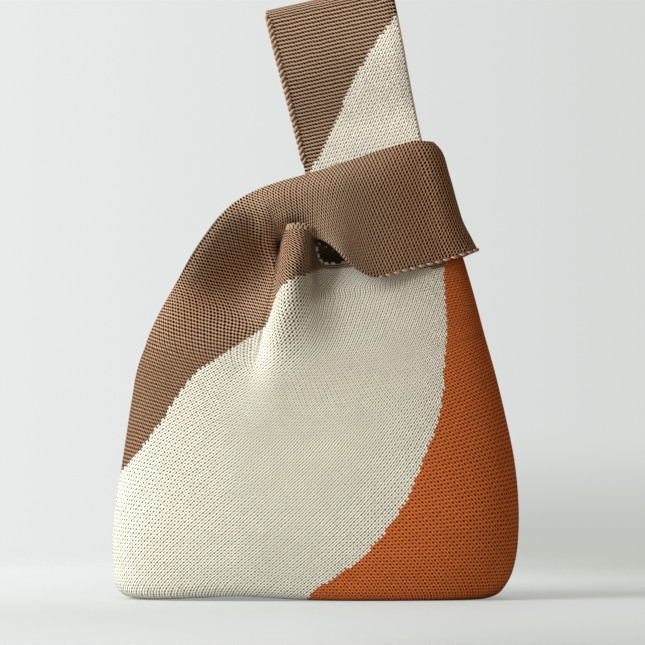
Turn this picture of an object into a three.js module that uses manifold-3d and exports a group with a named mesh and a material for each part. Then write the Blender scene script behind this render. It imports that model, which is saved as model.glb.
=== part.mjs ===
// Knitted wrist bag: a soft body with a short handle on its left shoulder and a long handle on its right one.
// The long handle stands up through the loop of the short handle, which gathers the mouth.
// Millimetres, +Z up, the front faces -Y, the origin is on the floor under the middle of the bag.
import * as THREE from "three";
import Module from "manifold-3d";

const wasm = await Module();
wasm.setup();

// Knit
const KNIT = 3; // thickness of the double-faced knit
const GAP = 0.3; // clearance between pieces that touch on the bag
const CHAIN_RADIUS = 1.2; // radius of a bind-off chain or a linked seam
const EDGE_GAP = 0.6; // clearance between a chain and the edge that it binds

// Body
const BASE_WIDTH = 180; // flat footprint
const BASE_DEPTH = 58;
const SEAM_INSET = 14; // the bottom seam stops this far inside the footprint's tips
const BELLY_WIDTH = 211; // widest section
const BELLY_DEPTH = 80;
const BELLY_HEIGHT = 36;
const RIM_HEIGHT = 178; // mouth
const RIM_DEPTH = 31;
const LEFT_INSET = 39.5; // how far each side has leaned in at the mouth
const RIGHT_INSET = 29.5;
const LEFT_POWER = 1.8; // how late each side leans in
const RIGHT_POWER = 1.4;
const DEPTH_POWER = 1.3;
const SECTION_POWER = 2.3; // squareness of the horizontal section
const SEAM_LOW = 14; // side seams run between these heights
const SEAM_HIGH = 120;

// Gathered pleat below the mouth
const PLEAT_FOOT_X = -18; // the pleat leans from its foot to its top
const PLEAT_TOP_X = -9.5;
const PLEAT_FOOT = 84; // height where it starts
const PLEAT_HALF = 11.5; // half width of the ridge
const PLEAT_DEPTH = 15;
const PLEAT_RISE = 16; // how far it stands above the mouth
const BACK_PLEAT_DEPTH = 9;
const BACK_PLEAT_HALF = 15;
const BACK_PLEAT_RISE = 4;

// Colour fields on the panels: the brown one ends along a curve from the left side to the mouth
const BROWN_SIDE_HEIGHT = 68;
const BROWN_BULGE_X = -75;
const BROWN_BULGE_HEIGHT = 118;
const BROWN_MOUTH_X = 15;
const ORANGE_FOOT_X = -3; // the orange one starts along a curve from the base to the mouth
const ORANGE_BULGE_X = 78;
const ORANGE_BULGE_HEIGHT = 48;
const ORANGE_MOUTH_X = 66;

// Neck: the frame in which both handles lie
const NECK_TILT = 12.5; // degrees, leaning to the left
const NECK_INSET = 40; // from the right side of the mouth to the neck's origin
const NECK_RISE = 28; // from the mouth to the neck's origin

// Short handle
const BAND_TOP = 28; // heights in the neck frame
const BAND_BOTTOM = -33;
const BAND_INNER_BOTTOM = 1; // lower edge near the pleat
const BAND_START = -62; // positions along the band
const BAND_DROP_START = -41;
const BAND_DROP_END = -20;
const BAND_TURN = -10; // where the band starts to bend round
const BAND_END = 39;
const BAND_END_SLANT = 0.12;
const BAND_END_HALF = 3.6; // each band stops this far from the crest's middle
const BAND_CREST_RADIUS = 2.2;
const BAND_DEPTH = 42; // across the loop
const BAND_TOP_PINCH = 14; // how much shallower the loop is along its top edge
const BAND_PINCH_FROM = 4;
const BAND_SHOULDER_DROP = 3; // the top edge falls towards the shoulder
const SHOULDER_INNER = 0.36; // share of the turn round the panel that feeds the short handle
const SHOULDER_PULL = 0.42; // fullness of the shoulder curve

// Long handle
const STRAP_CENTRE = -5; // along the neck frame's X
const STRAP_WIDTH = 63;
const STRAP_CREST_WIDTH = 67;
const STRAP_CREST = 112; // height in the neck frame
const STRAP_MIDDLE = 79.5;
const STRAP_DEPTH = 17; // across both layers in the middle of the loop
const CREST_RADIUS = 5.5;
const FOLD_HEIGHT = 38; // axis about which the handle folds down
const FOLD_HALF = 3.4; // half thickness where both layers are pressed together
const ROOT_TOP = 47;
const NECK_STRAIGHT = 5; // above this the neck is as wide as the strap
const NECK_STRAIGHT_HALF = 5; // half depth there
const NECK_LEFT_INSET = 58; // the part of the mouth that feeds the long handle, from the mouth's right side
const NECK_RIGHT_INSET = 7;
const STRAP_BROWN_LEFT = -33; // colour boundary across the strap, from the cuff to the crest
const STRAP_BROWN_LOW = 28;
const STRAP_BROWN_RIGHT = 31;
const STRAP_BROWN_HIGH = 101;
const STRAP_BROWN_BOW = 3;

// Yarns
const BROWN = new THREE.MeshStandardMaterial({ color: 0x8a6a50, roughness: 0.95, metalness: 0 });
const CREAM = new THREE.MeshStandardMaterial({ color: 0xd6cfba, roughness: 0.95, metalness: 0 });
const ORANGE = new THREE.MeshStandardMaterial({ color: 0xa0522a, roughness: 0.95, metalness: 0 });

const lerp = THREE.MathUtils.lerp;
const smooth = THREE.MathUtils.smoothstep;

// Body outline
const cornerRise = (z) => Math.sqrt(Math.max(0, 1 - (1 - z / BELLY_HEIGHT) ** 2));
const leanAt = (z) => (z - BELLY_HEIGHT) / (RIM_HEIGHT - BELLY_HEIGHT);

function tapered(z, base, belly, inset, power) {
  if (z < BELLY_HEIGHT) {
    return lerp(base, belly, cornerRise(z));
  }
  return belly - inset * leanAt(z) ** power;
}

const leftX = (z) => -tapered(z, BASE_WIDTH / 2, BELLY_WIDTH / 2, LEFT_INSET, LEFT_POWER);
const rightX = (z) => tapered(z, BASE_WIDTH / 2, BELLY_WIDTH / 2, RIGHT_INSET, RIGHT_POWER);
const DEPTH_INSET = (BELLY_DEPTH - RIM_DEPTH) / 2;
const halfDepth = (z) => tapered(z, BASE_DEPTH / 2, BELLY_DEPTH / 2, DEPTH_INSET, DEPTH_POWER);

const FRONT = { sign: -1, depth: PLEAT_DEPTH, half: PLEAT_HALF, rise: PLEAT_RISE };
const BACK = { sign: 1, depth: BACK_PLEAT_DEPTH, half: BACK_PLEAT_HALF, rise: BACK_PLEAT_RISE };

const pleatX = (z) => lerp(PLEAT_FOOT_X, PLEAT_TOP_X, (z - PLEAT_FOOT) / (RIM_HEIGHT - PLEAT_FOOT));
const ridge = (x, z, half) => Math.exp(-(((x - pleatX(z)) / half) ** 2));

// Outer face of a panel at a height: turn runs 0..1 from the left side to the right side
function sectionPoint(turn, z, face) {
  const across = -Math.cos(Math.PI * turn);
  const round = Math.max(0, 1 - Math.abs(across) ** SECTION_POWER) ** (1 / SECTION_POWER);
  const x = lerp(leftX(z), rightX(z), (across + 1) / 2);
  const pleat = face.depth * smooth(z, PLEAT_FOOT, RIM_HEIGHT) * ridge(x, z, face.half);
  return new THREE.Vector3(x, face.sign * (halfDepth(z) * round + pleat + GAP / 2), z);
}

const BASE_SHARE = 0.15; // part of a panel's rows that lies on the floor

function panelPoint(turn, along, face) {
  const onRim = sectionPoint(turn, RIM_HEIGHT, face);
  const top = RIM_HEIGHT + face.rise * ridge(onRim.x, RIM_HEIGHT, face.half);
  if (along < BASE_SHARE) {
    const edge = sectionPoint(turn, 0, face);
    const seamX = -Math.cos(Math.PI * turn) * (BASE_WIDTH / 2 - SEAM_INSET);
    return new THREE.Vector3(seamX, (face.sign * GAP) / 2, 0).lerp(edge, along / BASE_SHARE);
  }
  const wall = (along - BASE_SHARE) / (1 - BASE_SHARE);
  return sectionPoint(turn, top * wall ** 1.6, face);
}

// Turn at which the mouth reaches a given X
const turnAtX = (x) => {
  const across = (2 * (x - leftX(RIM_HEIGHT))) / (rightX(RIM_HEIGHT) - leftX(RIM_HEIGHT)) - 1;
  return Math.acos(-across) / Math.PI;
};

// Columns of a panel stand closer together on the pleat
const PLEAT_TURN = 2 * Math.PI * turnAtX(PLEAT_TOP_X);
const crowded = (a) => a - 0.07 * (Math.sin(2 * Math.PI * a - PLEAT_TURN) + Math.sin(PLEAT_TURN));

// Neck frame
const MOUTH_RIGHT = rightX(RIM_HEIGHT);
const NECK_X = MOUTH_RIGHT - NECK_INSET;
const NECK_Z = RIM_HEIGHT + NECK_RISE;
const neck = new THREE.Group();
neck.name = "neck_frame";
neck.position.set(NECK_X, 0, NECK_Z);
neck.rotation.y = -THREE.MathUtils.degToRad(NECK_TILT);
neck.updateMatrixWorld(true);
const toNeck = neck.matrixWorld.clone().invert();

// A closed slab whose outer face follows pointAt(a, b); outward is da x db
function knitSheet(pointAt, columns, rows) {
  const step = 1e-3;
  const wide = columns + 1;
  const count = wide * (rows + 1);
  const outer = [];
  const inner = [];
  for (let j = 0; j <= rows; j++) {
    for (let i = 0; i <= columns; i++) {
      const a = i / columns;
      const b = j / rows;
      const p = pointAt(a, b);
      const da = pointAt(Math.min(a + step, 1), b).sub(pointAt(Math.max(a - step, 0), b));
      const db = pointAt(a, Math.min(b + step, 1)).sub(pointAt(a, Math.max(b - step, 0)));
      const normal = da.cross(db).normalize();
      outer.push(p.x, p.y, p.z);
      inner.push(p.x - normal.x * KNIT, p.y - normal.y * KNIT, p.z - normal.z * KNIT);
    }
  }
  const faces = [];
  const quad = (a, b, c, d) => faces.push(a, b, c, a, c, d);
  for (let j = 0; j < rows; j++) {
    for (let i = 0; i < columns; i++) {
      const k = j * wide + i;
      quad(k, k + 1, k + wide + 1, k + wide);
      quad(count + k, count + k + wide, count + k + wide + 1, count + k + 1);
    }
  }
  for (let i = 0; i < columns; i++) {
    const high = rows * wide + i;
    quad(i, count + i, count + i + 1, i + 1);
    quad(high, high + 1, count + high + 1, count + high);
  }
  for (let j = 0; j < rows; j++) {
    const left = j * wide;
    const right = left + columns;
    quad(left, left + wide, count + left + wide, count + left);
    quad(right, count + right, count + right + wide, right + wide);
  }
  const geometry = new THREE.BufferGeometry();
  geometry.setAttribute("position", new THREE.Float32BufferAttribute([...outer, ...inner], 3));
  geometry.setIndex(faces);
  geometry.computeVertexNormals();
  return geometry;
}

// A chain or seam: a round section along a smooth path
function chain(points, steps, radius = CHAIN_RADIUS) {
  const section = new THREE.Shape().absarc(0, 0, radius, 0, Math.PI * 2);
  const path = new THREE.CatmullRomCurve3(points);
  const options = { steps, curveSegments: 4, bevelEnabled: false, extrudePath: path };
  return new THREE.ExtrudeGeometry(section, options);
}

// Path of a chain that binds the edge of a sheet; edgeAt(share, inside) runs along the edge and into the sheet
function edgeRun(edgeAt, face, count) {
  const points = [];
  for (let i = 0; i <= count; i++) {
    const share = i / count;
    const point = edgeAt(share, 0);
    const before = edgeAt(Math.max(share - 1e-3, 0), 0);
    const along = edgeAt(Math.min(share + 1e-3, 1), 0).sub(before).normalize();
    const away = point.clone().sub(edgeAt(share, 1e-3));
    away.addScaledVector(along, -away.dot(along)).normalize();
    const inward = away.clone().cross(along).normalize();
    if (inward.y * face.sign > 0) {
      inward.negate();
    }
    points.push(point.addScaledVector(inward, KNIT / 2).addScaledVector(away, EDGE_GAP + CHAIN_RADIUS));
  }
  return points;
}

// Booleans on closed solids
function solidOf(geometry) {
  const position = geometry.attributes.position;
  const keys = new Map();
  const places = [];
  const slot = [];
  for (let i = 0; i < position.count; i++) {
    const p = [position.getX(i), position.getY(i), position.getZ(i)];
    const key = p.map((value) => Math.round(value * 1e4)).join(" ");
    if (!keys.has(key)) {
      keys.set(key, places.length / 3);
      places.push(...p);
    }
    slot.push(keys.get(key));
  }
  const order = geometry.index ? Array.from(geometry.index.array) : slot.map((value, i) => i);
  const triVerts = new Uint32Array(order.map((i) => slot[i]));
  const mesh = new wasm.Mesh({ numProp: 3, vertProperties: new Float32Array(places), triVerts });
  return new wasm.Manifold(mesh);
}

function geometryOf(solid) {
  const mesh = solid.getMesh();
  const geometry = new THREE.BufferGeometry();
  geometry.setAttribute("position", new THREE.BufferAttribute(mesh.vertProperties, 3));
  geometry.setIndex(new THREE.BufferAttribute(mesh.triVerts, 1));
  geometry.computeVertexNormals();
  return geometry;
}

// A colour region, drawn in the front view and carried through the whole depth
function regionSolid(shape) {
  const reach = 4 * BELLY_DEPTH;
  const geometry = new THREE.ExtrudeGeometry(shape, { depth: reach, curveSegments: 14, bevelEnabled: false });
  geometry.rotateX(Math.PI / 2);
  geometry.translate(0, reach / 2, 0);
  return solidOf(geometry);
}

const bag = new THREE.Group();
bag.name = "knitted_wrist_bag";
bag.add(neck);

function place(parent, name, geometry, yarn) {
  const mesh = new THREE.Mesh(geometry, yarn);
  mesh.name = name;
  parent.add(mesh);
  return mesh;
}

// Panels, each cut into its three interlocked fields
const FAR = 4 * BELLY_WIDTH;

const brownShape = new THREE.Shape();
brownShape.moveTo(-FAR, BROWN_SIDE_HEIGHT);
brownShape.lineTo(leftX(BROWN_SIDE_HEIGHT), BROWN_SIDE_HEIGHT);
brownShape.quadraticCurveTo(BROWN_BULGE_X, BROWN_BULGE_HEIGHT, BROWN_MOUTH_X, RIM_HEIGHT - KNIT);
brownShape.lineTo(BROWN_MOUTH_X, FAR);
brownShape.lineTo(-FAR, FAR);

const orangeShape = new THREE.Shape();
orangeShape.moveTo(ORANGE_FOOT_X, -FAR);
orangeShape.lineTo(FAR, -FAR);
orangeShape.lineTo(FAR, FAR);
orangeShape.lineTo(ORANGE_MOUTH_X, FAR);
orangeShape.lineTo(ORANGE_MOUTH_X, RIM_HEIGHT);
orangeShape.quadraticCurveTo(ORANGE_BULGE_X, ORANGE_BULGE_HEIGHT, ORANGE_FOOT_X, 0);

const brownRegion = regionSolid(brownShape);
const orangeRegion = regionSolid(orangeShape);
const aroundBrown = brownRegion.translate([GAP, 0, -GAP]);
const aroundOrange = orangeRegion.translate([-GAP, 0, GAP]);

for (const [side, face] of [["front", FRONT], ["back", BACK]]) {
  const turnOf = (a) => crowded(face === FRONT ? a : 1 - a);
  const panel = solidOf(knitSheet((a, b) => panelPoint(turnOf(a), b, face), 42, 16));
  const cream = panel.subtract(aroundBrown).subtract(aroundOrange);
  place(bag, `${side}_brown_field`, geometryOf(panel.intersect(brownRegion)), BROWN);
  place(bag, `${side}_cream_field`, geometryOf(cream), CREAM);
  place(bag, `${side}_orange_field`, geometryOf(panel.intersect(orangeRegion)), ORANGE);
}

// Seams linked from the inside
const seamOff = KNIT + GAP + CHAIN_RADIUS;
const seamHeights = [0, 0.25, 0.5, 0.75, 1].map((share) => lerp(SEAM_LOW, SEAM_HIGH, share));
const leftSeam = seamHeights.map((z) => new THREE.Vector3(leftX(z) + seamOff, 0, z));
const rightSeam = seamHeights.map((z) => new THREE.Vector3(rightX(z) - seamOff, 0, z));
const seamEnd = BASE_WIDTH / 2 - SEAM_INSET;
const bottomSeam = [new THREE.Vector3(-seamEnd, 0, seamOff), new THREE.Vector3(seamEnd, 0, seamOff)];
place(bag, "left_side_seam", chain(leftSeam, 10), CREAM);
place(bag, "right_side_seam", chain(rightSeam, 10), ORANGE);
place(bag, "bottom_seam", chain(bottomSeam, 1), CREAM);

// Mouth edges, between the two handles
for (const [side, face] of [["front", FRONT], ["back", BACK]]) {
  const first = SHOULDER_INNER + 0.02;
  const last = turnAtX(MOUTH_RIGHT - NECK_LEFT_INSET) - 0.02;
  const rimAt = (share, inside) => panelPoint(lerp(first, last, share), 1 - inside, face);
  place(bag, `${side}_mouth_edge`, chain(edgeRun(rimAt, face, 24), 30), CREAM);
}

// Short handle: bands in the neck frame
const bandEnd = (z) => BAND_END - BAND_END_SLANT * z;
const bandTop = (x) => BAND_TOP - BAND_SHOULDER_DROP * smooth(-x, -BAND_DROP_END, -BAND_START);
const bandBottom = (x) => lerp(BAND_INNER_BOTTOM, BAND_BOTTOM, smooth(x, BAND_DROP_START, BAND_DROP_END));

function bandPoint(along, up, face) {
  const level = lerp(BAND_BOTTOM, BAND_TOP, up);
  const end = bandEnd(level);
  const half = BAND_DEPTH / 2 - (BAND_TOP_PINCH / 2) * smooth(level, BAND_PINCH_FROM, BAND_TOP);
  const stop = (1 - (BAND_END_HALF / half) ** (1 / 0.6)) ** (1 / 2.6);
  const x = lerp(BAND_START, lerp(BAND_TURN, end, stop), along);
  const bend = Math.max(0, (x - BAND_TURN) / (end - BAND_TURN));
  return new THREE.Vector3(x, face.sign * half * (1 - bend ** 2.6) ** 0.6, lerp(bandBottom(x), bandTop(x), up));
}

for (const [side, face] of [["front", FRONT], ["back", BACK]]) {
  const bandAt = (a, b) => bandPoint(face === FRONT ? a : 1 - a, b, face);
  place(neck, `short_handle_${side}`, knitSheet(bandAt, 28, 4), BROWN);

  // Left shoulder: the panel turns into the band
  const rootAt = (a, b) => {
    const across = face === FRONT ? a : 1 - a;
    const turn = lerp(0, SHOULDER_INNER, across);
    const start = panelPoint(turn, 1, face);
    const rise = start.clone().sub(panelPoint(turn, 0.97, face)).normalize();
    start.addScaledVector(rise, GAP);
    const end = bandPoint(0, 1 - across, face);
    end.x -= GAP;
    end.applyMatrix4(neck.matrixWorld);
    const heading = new THREE.Vector3(1, 0, 0).transformDirection(neck.matrixWorld);
    const pull = SHOULDER_PULL * start.distanceTo(end);
    const rising = start.clone().addScaledVector(rise, pull);
    const arriving = end.clone().addScaledVector(heading, -pull);
    return new THREE.CubicBezierCurve3(start, rising, arriving, end).getPoint(b);
  };
  place(bag, `short_handle_${side}_root`, knitSheet(rootAt, 5, 7), BROWN);

  // Bind-off cord along the lower edge
  const lowAt = (share, inside) => bandPoint(lerp(0.16, 0.94, share), inside, face);
  place(neck, `short_handle_${side}_edge`, chain(edgeRun(lowAt, face, 20), 28), CREAM);
}

const crestRun = [0.02, 0.35, 0.65, 0.98].map((share) => {
  const z = lerp(BAND_BOTTOM, BAND_TOP, share);
  return new THREE.Vector3(bandEnd(z) - BAND_CREST_RADIUS, 0, z);
});
place(neck, "short_handle_crest_seam", chain(crestRun, 8, BAND_CREST_RADIUS), BROWN);

// Long handle
const strapHalf = (z) => lerp(STRAP_WIDTH, STRAP_CREST_WIDTH, smooth(z, BAND_TOP, STRAP_CREST)) / 2;
const strapX = (across, z) => STRAP_CENTRE + (2 * across - 1) * strapHalf(z);

for (const [side, face] of [["front", FRONT], ["back", BACK]]) {
  const neckTop = FOLD_HEIGHT - FOLD_HALF - GAP;
  const firstTurn = turnAtX(MOUTH_RIGHT - NECK_LEFT_INSET);
  const lastTurn = turnAtX(MOUTH_RIGHT - NECK_RIGHT_INSET);
  const neckAt = (a, b) => {
    const across = face === FRONT ? a : 1 - a;
    if (b > 0.5) {
      const z = lerp(NECK_STRAIGHT, neckTop, 2 * b - 1);
      const depth = lerp(NECK_STRAIGHT_HALF, FOLD_HALF, smooth(z, NECK_STRAIGHT, neckTop));
      return new THREE.Vector3(strapX(across, z), face.sign * depth, z);
    }
    const turn = lerp(firstTurn, lastTurn, across);
    const start = panelPoint(turn, 1, face);
    start.z += GAP;
    start.applyMatrix4(toNeck);
    const end = new THREE.Vector3(strapX(across, NECK_STRAIGHT), face.sign * NECK_STRAIGHT_HALF, NECK_STRAIGHT);
    const pull = (end.z - start.z) / 3;
    const rising = new THREE.Vector3(start.x, start.y, start.z + pull);
    const arriving = new THREE.Vector3(end.x, end.y, end.z - pull);
    return new THREE.CubicBezierCurve3(start, rising, arriving, end).getPoint(2 * b);
  };
  place(neck, `long_handle_${side}_neck`, knitSheet(neckAt, 6, 8), CREAM);
}

const rootShape = new THREE.Shape();
rootShape.absarc(0, FOLD_HEIGHT, FOLD_HALF, Math.PI, Math.PI * 2);
rootShape.lineTo(FOLD_HALF, ROOT_TOP - GAP);
rootShape.lineTo(-FOLD_HALF, ROOT_TOP - GAP);
const rootWidth = 2 * strapHalf(FOLD_HEIGHT);
const rootOptions = { depth: rootWidth, curveSegments: 8, bevelEnabled: false };
const rootGeometry = new THREE.ExtrudeGeometry(rootShape, rootOptions);
const axes = [[0, 1, 0], [0, 0, 1], [1, 0, 0]].map((v) => new THREE.Vector3(...v));
rootGeometry.applyMatrix4(new THREE.Matrix4().makeBasis(...axes));
rootGeometry.translate(STRAP_CENTRE - rootWidth / 2, 0, 0);
place(neck, "long_handle_root", rootGeometry, CREAM);

// Half depth of the loop's outer face at a height, and the rounded crest above it
const middleHalf = STRAP_DEPTH / 2;
const shoulderHeight = STRAP_CREST - CREST_RADIUS;
const loopHalf = (z) => {
  if (z < STRAP_MIDDLE) {
    return lerp(FOLD_HALF, middleHalf, smooth(z, ROOT_TOP, STRAP_MIDDLE));
  }
  return lerp(middleHalf, CREST_RADIUS, smooth(z, STRAP_MIDDLE, shoulderHeight));
};

function lowerPoint(across, up, face) {
  const z = lerp(ROOT_TOP, STRAP_MIDDLE - GAP / 2, up);
  return new THREE.Vector3(strapX(across, z), face.sign * loopHalf(z), z);
}

function upperPoint(across, up, face) {
  if (up < 0.6) {
    const z = lerp(STRAP_MIDDLE + GAP / 2, shoulderHeight, up / 0.6);
    return new THREE.Vector3(strapX(across, z), face.sign * loopHalf(z), z);
  }
  const last = Math.acos((0.7 * GAP) / CREST_RADIUS);
  const angle = (last * (up - 0.6)) / 0.4;
  const z = shoulderHeight + CREST_RADIUS * Math.sin(angle);
  return new THREE.Vector3(strapX(across, z), face.sign * CREST_RADIUS * Math.cos(angle), z);
}

const strapShape = new THREE.Shape();
strapShape.moveTo(STRAP_BROWN_LEFT, STRAP_BROWN_LOW);
strapShape.quadraticCurveTo(
  (STRAP_BROWN_LEFT + STRAP_BROWN_RIGHT) / 2 - STRAP_BROWN_BOW,
  (STRAP_BROWN_LOW + STRAP_BROWN_HIGH) / 2 + STRAP_BROWN_BOW,
  STRAP_BROWN_RIGHT,
  STRAP_BROWN_HIGH,
);
strapShape.lineTo(FAR, STRAP_BROWN_HIGH);
strapShape.lineTo(FAR, FAR);
strapShape.lineTo(-FAR, FAR);
strapShape.lineTo(-FAR, STRAP_BROWN_LOW);
const strapBrown = regionSolid(strapShape);
const aroundStrapBrown = strapBrown.translate([GAP, 0, -GAP]);

for (const [side, face] of [["front", FRONT], ["back", BACK]]) {
  for (const [level, pointAt, rows] of [["lower", lowerPoint, 5], ["upper", upperPoint, 10]]) {
    const strap = solidOf(knitSheet((a, b) => pointAt(face === FRONT ? a : 1 - a, b, face), 4, rows));
    place(neck, `long_handle_${side}_${level}_brown`, geometryOf(strap.intersect(strapBrown)), BROWN);
    place(neck, `long_handle_${side}_${level}_cream`, geometryOf(strap.subtract(aroundStrapBrown)), CREAM);

    // Bind-off chain along the mouth side
    const last = level === "lower" ? 0.97 : 0.8;
    const sideAt = (share, inside) => pointAt(inside, lerp(0.03, last, share), face);
    place(neck, `long_handle_${side}_${level}_edge`, chain(edgeRun(sideAt, face, 6), 10), BROWN);
  }
}

const crestSeamHeight = STRAP_CREST - KNIT - GAP - CHAIN_RADIUS;
const crestHalf = strapHalf(STRAP_CREST) - CHAIN_RADIUS;
const crestSeam = [-1, 1].map((end) => new THREE.Vector3(STRAP_CENTRE + end * crestHalf, 0, crestSeamHeight));
place(neck, "long_handle_crest_seam", chain(crestSeam, 1), BROWN);

export default bag;
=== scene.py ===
# %% [markdown]
# # A knitted wrist bag, dressed around its frame
# The bag is a knitted tube with a short handle on its left shoulder and a long handle on its right one.
# The long handle stands up through the loop of the short one, and that gathers the mouth into a pleat.
# The frame holds the imported solids. It is loaded first, and every piece below is made in its
# coordinates, so nothing has to be fitted by eye.

# %% Load the frame
import math

import bpy
import numpy as np
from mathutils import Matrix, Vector


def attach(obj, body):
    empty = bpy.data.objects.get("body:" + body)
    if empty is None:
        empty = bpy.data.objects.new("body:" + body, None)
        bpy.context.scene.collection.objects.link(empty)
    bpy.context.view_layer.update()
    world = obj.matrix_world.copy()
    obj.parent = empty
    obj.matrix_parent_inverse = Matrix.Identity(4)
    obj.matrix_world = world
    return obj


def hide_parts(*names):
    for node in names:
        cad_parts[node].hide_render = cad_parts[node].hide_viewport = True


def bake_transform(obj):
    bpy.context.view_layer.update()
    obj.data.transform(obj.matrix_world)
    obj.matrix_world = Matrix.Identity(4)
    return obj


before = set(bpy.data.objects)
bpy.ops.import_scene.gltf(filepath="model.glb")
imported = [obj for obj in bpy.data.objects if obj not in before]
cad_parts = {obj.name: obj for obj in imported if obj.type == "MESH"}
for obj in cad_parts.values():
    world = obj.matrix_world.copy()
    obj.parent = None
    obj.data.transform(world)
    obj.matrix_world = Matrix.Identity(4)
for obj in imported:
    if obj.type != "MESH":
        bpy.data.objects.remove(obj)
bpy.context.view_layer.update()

# %% [markdown]
# ## Camera
# The photograph is taken from the front, at about half the bag's height. Its perspective is slight, so
# the lens is taken as a long one, far off. The picture is square. At the bag's middle plane it spans
# 336 mm, so the top of the long handle just leaves the frame. The picture's tones are set to Standard,
# so a colour shows as it is.

# %% Camera
SENSOR_WIDTH = 36.0
VIEW_SPAN = 0.336
VIEW_DISTANCE = 4.0
VIEW_RISE = math.radians(0.5)
VIEW_CENTRE = Vector((0.0034, 0.0, 0.1438))

scene = bpy.context.scene
scene.view_settings.view_transform = "Standard"
camera_data = bpy.data.cameras.new("camera")
camera_data.sensor_width = SENSOR_WIDTH
camera_data.lens = SENSOR_WIDTH * VIEW_DISTANCE / VIEW_SPAN
camera = bpy.data.objects.new("camera", camera_data)
scene.collection.objects.link(camera)
view_back = Vector((0.0, -math.cos(VIEW_RISE), math.sin(VIEW_RISE)))
camera.location = VIEW_CENTRE + view_back * VIEW_DISTANCE
camera.rotation_euler = (math.pi / 2 - VIEW_RISE, 0.0, 0.0)
scene.camera = camera
print("lens", round(camera_data.lens, 1), "mm")

# %% [markdown]
# ## Floor
# The bag stands on a pale studio floor that runs on into the backdrop without a line. A curved sheet
# would do that for one view only, so the floor is one flat face, and its finish fades out.

# %% Floor
FLOOR_REACH = 3.0

corners = [(x * FLOOR_REACH, y * FLOOR_REACH, 0) for x, y in ((-1, -1), (1, -1), (1, 1), (-1, 1))]
floor_mesh = bpy.data.meshes.new("floor")
floor_mesh.from_pydata(corners, [], [(0, 1, 2, 3)])
floor = bpy.data.objects.new("floor", floor_mesh)
scene.collection.objects.link(floor)
print("floor", 2 * FLOOR_REACH, "m wide")

# %% [markdown]
# ## Nodes for numbers
# Floor, sky and yarn are all described by small networks of nodes. They could be wired by hand in the
# shader editor. Here each helper adds one node and returns its output, so a finish reads like a sum and
# the same network can be made again for each yarn. The first helpers work on plain numbers.

# %% Nodes for numbers
def link(tree, value, socket):
    """Connects a node output to a socket, or writes a plain value into it."""
    if isinstance(value, bpy.types.NodeSocket):
        tree.links.new(value, socket)
    else:
        socket.default_value = value


def calc(tree, operation, a, b=0.0, c=0.0, clamp=False):
    """One Math node; a, b and c are sockets or numbers."""
    node = tree.nodes.new("ShaderNodeMath")
    node.operation = operation
    node.use_clamp = clamp
    for value, socket in zip((a, b, c), node.inputs):
        link(tree, value, socket)
    return node.outputs[0]


def spread(tree, value, low, high, new_low, new_high, smooth=False):
    """Maps a value from one range to another, held at the ends."""
    node = tree.nodes.new("ShaderNodeMapRange")
    node.interpolation_type = "SMOOTHSTEP" if smooth else "LINEAR"
    for number, socket in zip((value, low, high, new_low, new_high), node.inputs):
        link(tree, number, socket)
    return node.outputs[0]


print("number nodes", [helper.__name__ for helper in (calc, spread)])

# %% [markdown]
# ## Nodes for colours and places
# A finish also mixes colours, makes them lighter or darker, and asks where a spot lies. Soft noise
# stands for what is uneven, on a floor as in yarn. A picture could do that too, but noise never repeats
# and has no edge. The last helper tells which rays show the studio itself.

# %% Nodes for colours and places
def mixed(tree, share, a, b):
    """Mixes two colours by a share."""
    node = tree.nodes.new("ShaderNodeMix")
    node.data_type = "RGBA"
    link(tree, share, node.inputs[0])
    link(tree, a, node.inputs[6])
    link(tree, b, node.inputs[7])
    return node.outputs[2]


def scaled(tree, colour, factor):
    """A colour, made lighter or darker by a factor."""
    node = tree.nodes.new("ShaderNodeVectorMath")
    node.operation = "SCALE"
    tree.links.new(colour, node.inputs[0])
    tree.links.new(factor, node.inputs["Scale"])
    return node.outputs[0]


def cloudy(tree, where, scale, detail=2.0, roughness=0.5):
    """Soft noise at a place."""
    node = tree.nodes.new("ShaderNodeTexNoise")
    link(tree, where, node.inputs["Vector"])
    node.inputs["Scale"].default_value = scale
    node.inputs["Detail"].default_value = detail
    node.inputs["Roughness"].default_value = roughness
    return node.outputs["Fac"]


def split_up(tree, vector):
    """The three parts of a vector."""
    node = tree.nodes.new("ShaderNodeSeparateXYZ")
    tree.links.new(vector, node.inputs[0])
    return node.outputs[0], node.outputs[1], node.outputs[2]


def seen_directly(tree):
    """1 on the rays that show the studio: to the camera, in a shine or through glass."""
    paths = tree.nodes.new("ShaderNodeLightPath")
    seen = calc(tree, "MAXIMUM", paths.outputs["Is Camera Ray"], paths.outputs["Is Glossy Ray"])
    return calc(tree, "MAXIMUM", seen, paths.outputs["Is Transmission Ray"])


print("colour nodes", [helper.__name__ for helper in (mixed, scaled, cloudy)])

# %% [markdown]
# ## Tone of the floor
# The floor is a cool, pale grey, with painted light: a little lighter to the back and the left. At the
# back on the right it carries the bag's painted shadow. One flat colour would look like paper, so the
# tone follows the floor's own coordinates, with soft clouds mixed in, and changes without a line.

# %% Floor tone
FLOOR_NEAR = (0.288, 0.30, 0.296, 1.0)
FLOOR_FAR = (0.395, 0.412, 0.417, 1.0)
FLOOR_SHADED = (0.255, 0.266, 0.25, 1.0)
TINT_SLANT, TINT_CLOUDS, CLOUD_SIZE = -0.5, 0.1, 3.0
TINT_RANGE = (-0.05, 0.5)
SHADED_RIGHT, SHADED_BACK = (0.0, 0.2), (0.1, 0.4)


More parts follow.
